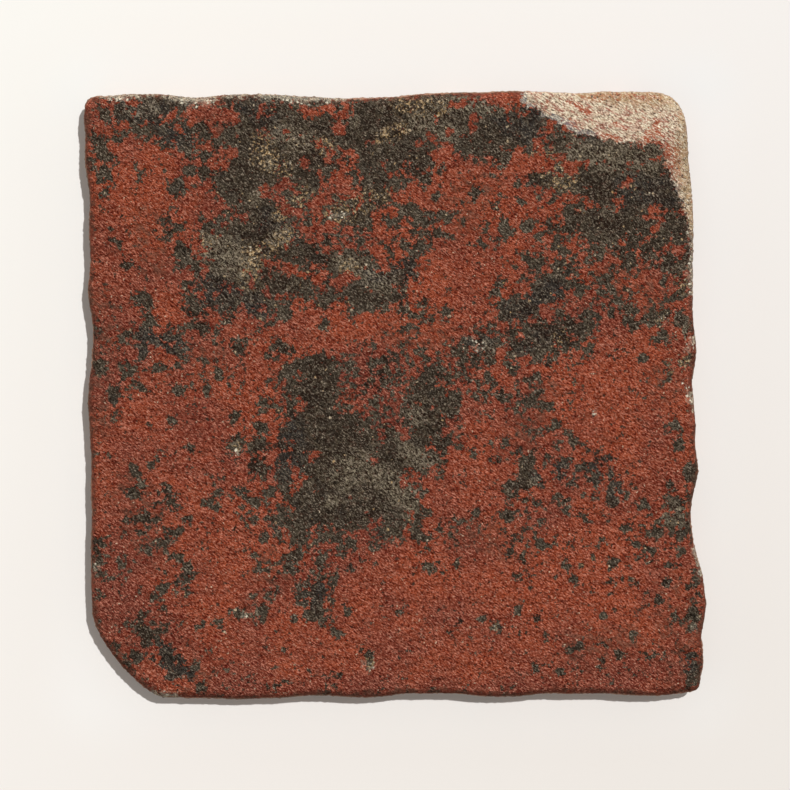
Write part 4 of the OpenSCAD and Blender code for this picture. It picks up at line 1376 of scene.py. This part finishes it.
    def flaked(self, ground: Ground, colour: Value, height: Value) -> tuple[Socket, Socket]:
        """Draws the broken clay of the flaked corner, streaked across its fall.

        Args:
            ground: The ground that it is drawn on.
            colour: The colour so far.
            height: The height so far, in millimetres.

        Returns:
            The colour and the height.
        """
        t, held, clay = ground.tree, ground.held, self.clay
        inside = ground.ragged(t.times(held[Wear.FLAKE], clay.steepness), clay.border)
        inside = t.times(inside, t.step(held[Wear.LEAN], *clay.upward))
        streaks, lines = ground.noise(clay.streaks), ground.noise(clay.lines)
        fibres = ground.noise(clay.fibres)
        tone = t.coat(clay.cream, clay.pink, clay.pink_cloud, ground.noise(clay.cloud))
        tone = t.coat(tone, clay.pale, clay.pale_fibres, fibres)
        tone = t.coat(tone, clay.edge, clay.brown_fibres, fibres)
        tone = t.coat(tone, clay.dark, clay.dark_fibres, fibres)
        tone = t.coat(tone, clay.red, clay.veins, t.plus(streaks, clay.vein_by_streak, lines))
        drawn = ground.drawn(clay.streaks.off, clay.streaks.turn, clay.streaks.stretch)
        left = ground.ragged(t.span(held[Wear.RUBBED], *clay.left_level), clay.left_border, drawn)
        tone = t.coat(tone, self.skin.body, clay.left_skin, fibres, left)
        fringe = t.step(t.plus(streaks, clay.fringe_by_streak, held[Wear.FLAKE]), *clay.fringe_width)
        tone = t.coat(tone, clay.blue, clay.blue_fringe, fibres, t.times(held[Wear.SOOT], fringe))
        # brown lines and dark crumbs: stain, and along the flake's upper and right edges partly painted
        # shade
        tone = t.coat(tone, clay.ochre, clay.ochre_lines, lines, held[Wear.BROWN])
        crumbs = ground.crumbs(clay.crumbs, t.span(held[Wear.BROWN], *clay.crumb_amount))
        tone = t.lay(tone, crumbs["Mask"], clay.crumbs.share, clay.dark)
        broken = t.plus(streaks, clay.streak_height, t.times(ground.sand["Height"], clay.grain_height))
        return t.mix(inside, colour, tone), t.blend(inside, height, broken)

    def sides(self, ground: Ground, colour: Value, height: Value) -> tuple[Socket, Socket]:
        """Draws the plain clay of the edges and the underside, with some skin on the upper edges.

        Args:
            ground: The ground that it is drawn on.
            colour: The colour so far.
            height: The height so far, in millimetres.

        Returns:
            The colour and the height.
        """
        t, lean, grain = ground.tree, ground.held[Wear.LEAN], ground.sand["Grain"]
        clay, side = self.clay, self.side
        tone = t.coat(clay.edge, clay.under, side.clouded, ground.noise(side.cloud))
        tone = t.coat(tone, clay.under, side.underside, lean)
        skin = ground.ragged(t.span(lean, *side.skin_level), side.skin_border)
        tone = t.lay(tone, skin, side.skin_share, self.skin.dull)
        tone = t.coat(tone, clay.dark, side.dark_grain, grain)
        tone = t.coat(tone, clay.cream, side.light_grain, grain)
        tone = t.lay(tone, ground.crumbs(side.pores)["Mask"], side.pores.share, clay.dark)
        mask = t.step(lean, *side.downward)
        plain = t.times(ground.sand["Height"], clay.grain_height)
        return t.mix(mask, colour, tone), t.blend(mask, height, plain)


@dataclass
class WornTile:
    """The tile: a finely drawn copy of the slab, with its relief and its wear, in millimetres."""

    voxel: float = 0.8
    joint: float = 0.002
    most_triangles: int = 188000
    under_normal: float = -0.9
    wall_low: float = 5.0
    wall_high: float = 12.0
    wear: WearMap = field(default_factory=WearMap)
    relief: Relief = field(default_factory=Relief)
    clay: FiredClay = field(default_factory=FiredClay)

    def build(self, node: bpy.types.Object, effects: Effects) -> bpy.types.Object:
        """Builds the dressed tile.

        Args:
            node: The slab of the frame, which is copied and left as it is.
            effects: The shared shader groups.

        Returns:
            The finished piece, at the origin.
        """
        piece = bpy.data.objects.new("worn_tile", self.merged(node))
        bpy.context.scene.collection.objects.link(piece)
        low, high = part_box("tile")
        line = self.outline(piece.data)
        piece.data = self.fine_skin(piece)
        self.mark(piece.data, line)
        piece.data = self.relief.apply(piece, self.clay.build(effects))
        self.keep_in(piece.data, low, high)
        piece.data.shade_smooth()
        return piece

    def merged(self, node: bpy.types.Object) -> bpy.types.Mesh:
        """Copies a node's mesh with its loose triangles joined.

        Args:
            node: The node.

        Returns:
            The new mesh.
        """
        mesh = bpy.data.meshes.new("worn_tile")
        form = bmesh.new()
        form.from_mesh(node.data)
        bmesh.ops.remove_doubles(form, verts=form.verts, dist=self.joint * MM)
        form.to_mesh(mesh)
        form.free()
        return mesh

    def outline(self, mesh: bpy.types.Mesh) -> np.ndarray:
        """Finds the outline of the slab from the points half way up its edges.

        Args:
            mesh: The slab.

        Returns:
            The outline as rows of (x, y) in millimetres, in order round the tile.
        """
        points = np.array([v.co for v in mesh.vertices]) / MM
        wall = points[(points[:, 2] > self.wall_low) & (points[:, 2] < self.wall_high)][:, :2]
        return wall[np.argsort(np.arctan2(wall[:, 1], wall[:, 0]))]

    def fine_skin(self, piece: bpy.types.Object) -> bpy.types.Mesh:
        """Draws the slab as small even faces, coarser on the underside.

        Args:
            piece: The piece, with the slab as its mesh.

        Returns:
            The finer mesh.
        """
        net = piece.modifiers.new("Net", "REMESH")
        net.mode, net.voxel_size, net.adaptivity = "VOXEL", self.voxel * MM, 0.0
        piece.data = plain_mesh(piece)
        normals = np.array([v.normal.z for v in piece.data.vertices])
        under = piece.vertex_groups.new(name="under")
        under.add(np.nonzero(normals < self.under_normal)[0].tolist(), 1.0, "REPLACE")
        thin = piece.modifiers.new("Thin", "DECIMATE")
        thin.ratio, thin.vertex_group = min(1.0, self.most_triangles / triangles(piece.data)), under.name
        mesh = plain_mesh(piece)
        piece.vertex_groups.clear()
        return mesh

    def mark(self, mesh: bpy.types.Mesh, line: np.ndarray) -> None:
        """Writes the wear attributes.

        Args:
            mesh: The mesh to mark.
            line: The outline, as rows of (x, y) in millimetres.
        """
        points = np.array([v.co for v in mesh.vertices]) / MM
        fields = self.wear.fields(points[:, :2])
        fields[Wear.EDGE] = self.wear.outline_gap(line, points[:, :2])
        fields[Wear.LEAN] = np.array([v.normal.z for v in mesh.vertices])
        for wear, values in fields.items():
            held = mesh.attributes.new(wear.value, "FLOAT", "POINT")
            held.data.foreach_set("value", values.astype(np.float32))

    @staticmethod
    def keep_in(mesh: bpy.types.Mesh, low: Vector, high: Vector) -> None:
        """Moves every point that stands out of the slab's box back onto it.

        Args:
            mesh: The mesh.
            low: The lower corner of the box.
            high: The upper corner.
        """
        points = np.empty(len(mesh.vertices) * 3)
        mesh.vertices.foreach_get("co", points)
        kept = np.clip(points.reshape(-1, 3), np.array(low), np.array(high))
        mesh.vertices.foreach_set("co", kept.ravel())
        mesh.update()


def triangles(mesh: bpy.types.Mesh) -> int:
    """Returns the number of triangles in a mesh."""
    return sum(len(p.vertices) - 2 for p in mesh.polygons)


@dataclass
class Studio:
    """The stage: a pale floor, soft light and the camera straight above. Lengths are in metres."""

    field_width: float = 0.2612
    face_height: float = 0.0195
    lens: float = 250.0
    sensor: float = 36.0
    clip: Span = (0.01, 50.0)
    floor_half: float = 6.0
    floor_drop: float = 0.0002
    # floor colours at the corners of the field: painted light falling off from the upper left to the lower
    # right
    upper_left: Colour = (0.914, 0.894, 0.846)
    upper_right: Colour = (0.868, 0.835, 0.803)
    lower_left: Colour = (0.862, 0.822, 0.778)
    lower_right: Colour = (0.808, 0.767, 0.722)
    # painted glow beside the tile: the first colour along its lower part and sides, the second past its
    # upper edge
    halo_low: Colour = (1.020, 1.038, 1.052)
    halo_high: Colour = (0.990, 1.016, 1.036)
    halo_from: float = 0.1
    halo_width: Span = (0.024, 0.002)
    halo_change: Span = (0.085, 0.105)
    sky: float = 0.34
    sky_colour: Colour = (1.0, 0.985, 0.965)
    wall_colour: Colour = (0.90, 0.87, 0.83)
    key: float = 2.35
    key_slope: Span = (0.165, 0.17)
    key_spread: float = 1.0
    relief_light: float = 3.3
    relief_elevation: float = 38.0
    relief_side: float = 0.12
    relief_spread: float = 14.0

    def build(self, piece: bpy.types.Object) -> None:
        """Builds the stage round the piece.

        Args:
            piece: The tile, on which the raking light falls alone.
        """
        scene = bpy.context.scene
        scene.view_settings.view_transform = "Standard"
        floor = self.floor()
        self.world(scene)
        self.camera(scene)
        way = Vector((-self.key_slope[0], -self.key_slope[1], -1.0))
        self.only_on(self.sun("Key light", self.key, way, self.key_spread), floor)
        rise = math.radians(self.relief_elevation)
        way = Vector((-self.relief_side, -math.cos(rise), -math.sin(rise)))
        self.only_on(self.sun("Raking light", self.relief_light, way, self.relief_spread), piece)

    def floor(self) -> bpy.types.Object:
        """Makes the floor: a large pale plane with painted light, falling off from the upper left to the
        lower right, and a painted glow that is a little lighter and less red by the tile, against the red
        light the tile throws back.

        Returns:
            The floor.
        """
        mesh = bpy.data.meshes.new("floor")
        h, z = self.floor_half, -self.floor_drop
        mesh.from_pydata([(-h, -h, z), (h, -h, z), (h, h, z), (-h, h, z)], [], [(0, 1, 2, 3)])
        floor = bpy.data.objects.new("floor", mesh)
        bpy.context.scene.collection.objects.link(floor)
        material = bpy.data.materials.new("Pale floor")
        t = Tree.of(material)
        place = t.add("ShaderNodeTexCoord").outputs["Object"]
        axes = t.add("ShaderNodeSeparateXYZ", {0: place}).outputs
        half = self.field_width / 2
        across = t.span(axes[0], -half, half, 0.0, 1.0)
        up = t.span(axes[1], -half, half, 0.0, 1.0)
        # painted light: the floor's colour falls off from the upper left to the lower right
        upper = t.mix(across, self.upper_left, self.upper_right)
        lower = t.mix(across, self.lower_left, self.lower_right)
        edge = (self.halo_from, self.halo_from, 1.0)
        beside = t.vector("SUBTRACT", t.vector("ABSOLUTE", place), edge)
        beside = t.vector("MAXIMUM", beside, (0.0, 0.0, 0.0))
        beside = t.add("ShaderNodeVectorMath", {0: beside}, operation="LENGTH").outputs["Value"]
        # painted glow: lighter and less red close to the tile
        painted_glow = t.mix(t.step(axes[1], *self.halo_change), self.halo_low, self.halo_high)
        colour = t.mix(t.step(beside, *self.halo_width), t.mix(up, lower, upper), painted_glow, "MULTIPLY")
        shader = t.add("ShaderNodeBsdfDiffuse", {"Color": colour})
        t.add("ShaderNodeOutputMaterial", {"Surface": shader.outputs[0]})
        mesh.materials.append(material)
        return floor

    def world(self, scene: bpy.types.Scene) -> None:
        """Fills the scene with even light, and shows the camera a pale wall beyond the floor.

        Args:
            scene: The scene.
        """
        scene.world = bpy.data.worlds.new("Studio")
        t = Tree.of(scene.world)
        seen = t.add("ShaderNodeLightPath").outputs["Is Camera Ray"]
        fill = t.add("ShaderNodeBackground", {"Color": self.sky_colour, "Strength": self.sky}).outputs[0]
        wall = t.add("ShaderNodeBackground", {"Color": self.wall_colour, "Strength": 1.0}).outputs[0]
        mixed = t.add("ShaderNodeMixShader", {0: seen, 1: fill, 2: wall}).outputs[0]
        t.add("ShaderNodeOutputWorld", {"Surface": mixed})

    def camera(self, scene: bpy.types.Scene) -> None:
        """Hangs the camera straight above the tile.

        Args:
            scene: The scene.
        """
        data = bpy.data.cameras.new("Camera")
        data.lens, data.sensor_width = self.lens, self.sensor
        data.clip_start, data.clip_end = self.clip
        camera = bpy.data.objects.new("Camera", data)
        camera.location = (0.0, 0.0, self.face_height + self.field_width * self.lens / self.sensor)
        scene.collection.objects.link(camera)
        scene.camera = camera

    @staticmethod
    def sun(name: str, strength: float, way: Vector, spread: float) -> bpy.types.Object:
        """Adds a sun.

        Args:
            name: The light's name.
            strength: Its strength.
            way: The direction in which its light travels.
            spread: Its apparent width in degrees.

        Returns:
            The light.
        """
        data = bpy.data.lights.new(name, "SUN")
        data.energy, data.angle = strength, math.radians(spread)
        light = bpy.data.objects.new(name, data)
        light.rotation_mode = "QUATERNION"
        light.rotation_quaternion = way.to_track_quat("-Z", "Y")
        bpy.context.scene.collection.objects.link(light)
        return light

    @staticmethod
    def only_on(light: bpy.types.Object, target: bpy.types.Object) -> None:
        """Lets a light fall on one object only.

        Args:
            light: The light.
            target: The object that it falls on.
        """
        held = bpy.data.collections.new(f"{light.name} falls on")
        held.objects.link(target)
        light.light_linking.receiver_collection = held


def main() -> None:
    """Builds the tile and its stage in order, and reports each piece."""
    logging.basicConfig(level=logging.INFO, format="%(message)s", stream=sys.stdout)
    effects = Effects()
    piece = WornTile().build(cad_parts["tile"], effects)
    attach(piece, "root")
    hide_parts("tile")
    LOG.info("%s: %d triangles", piece.name, triangles(piece.data))
    Studio().build(piece)
    LOG.info("stage: floor, lights and camera")


if __name__ == "__main__":
    main()
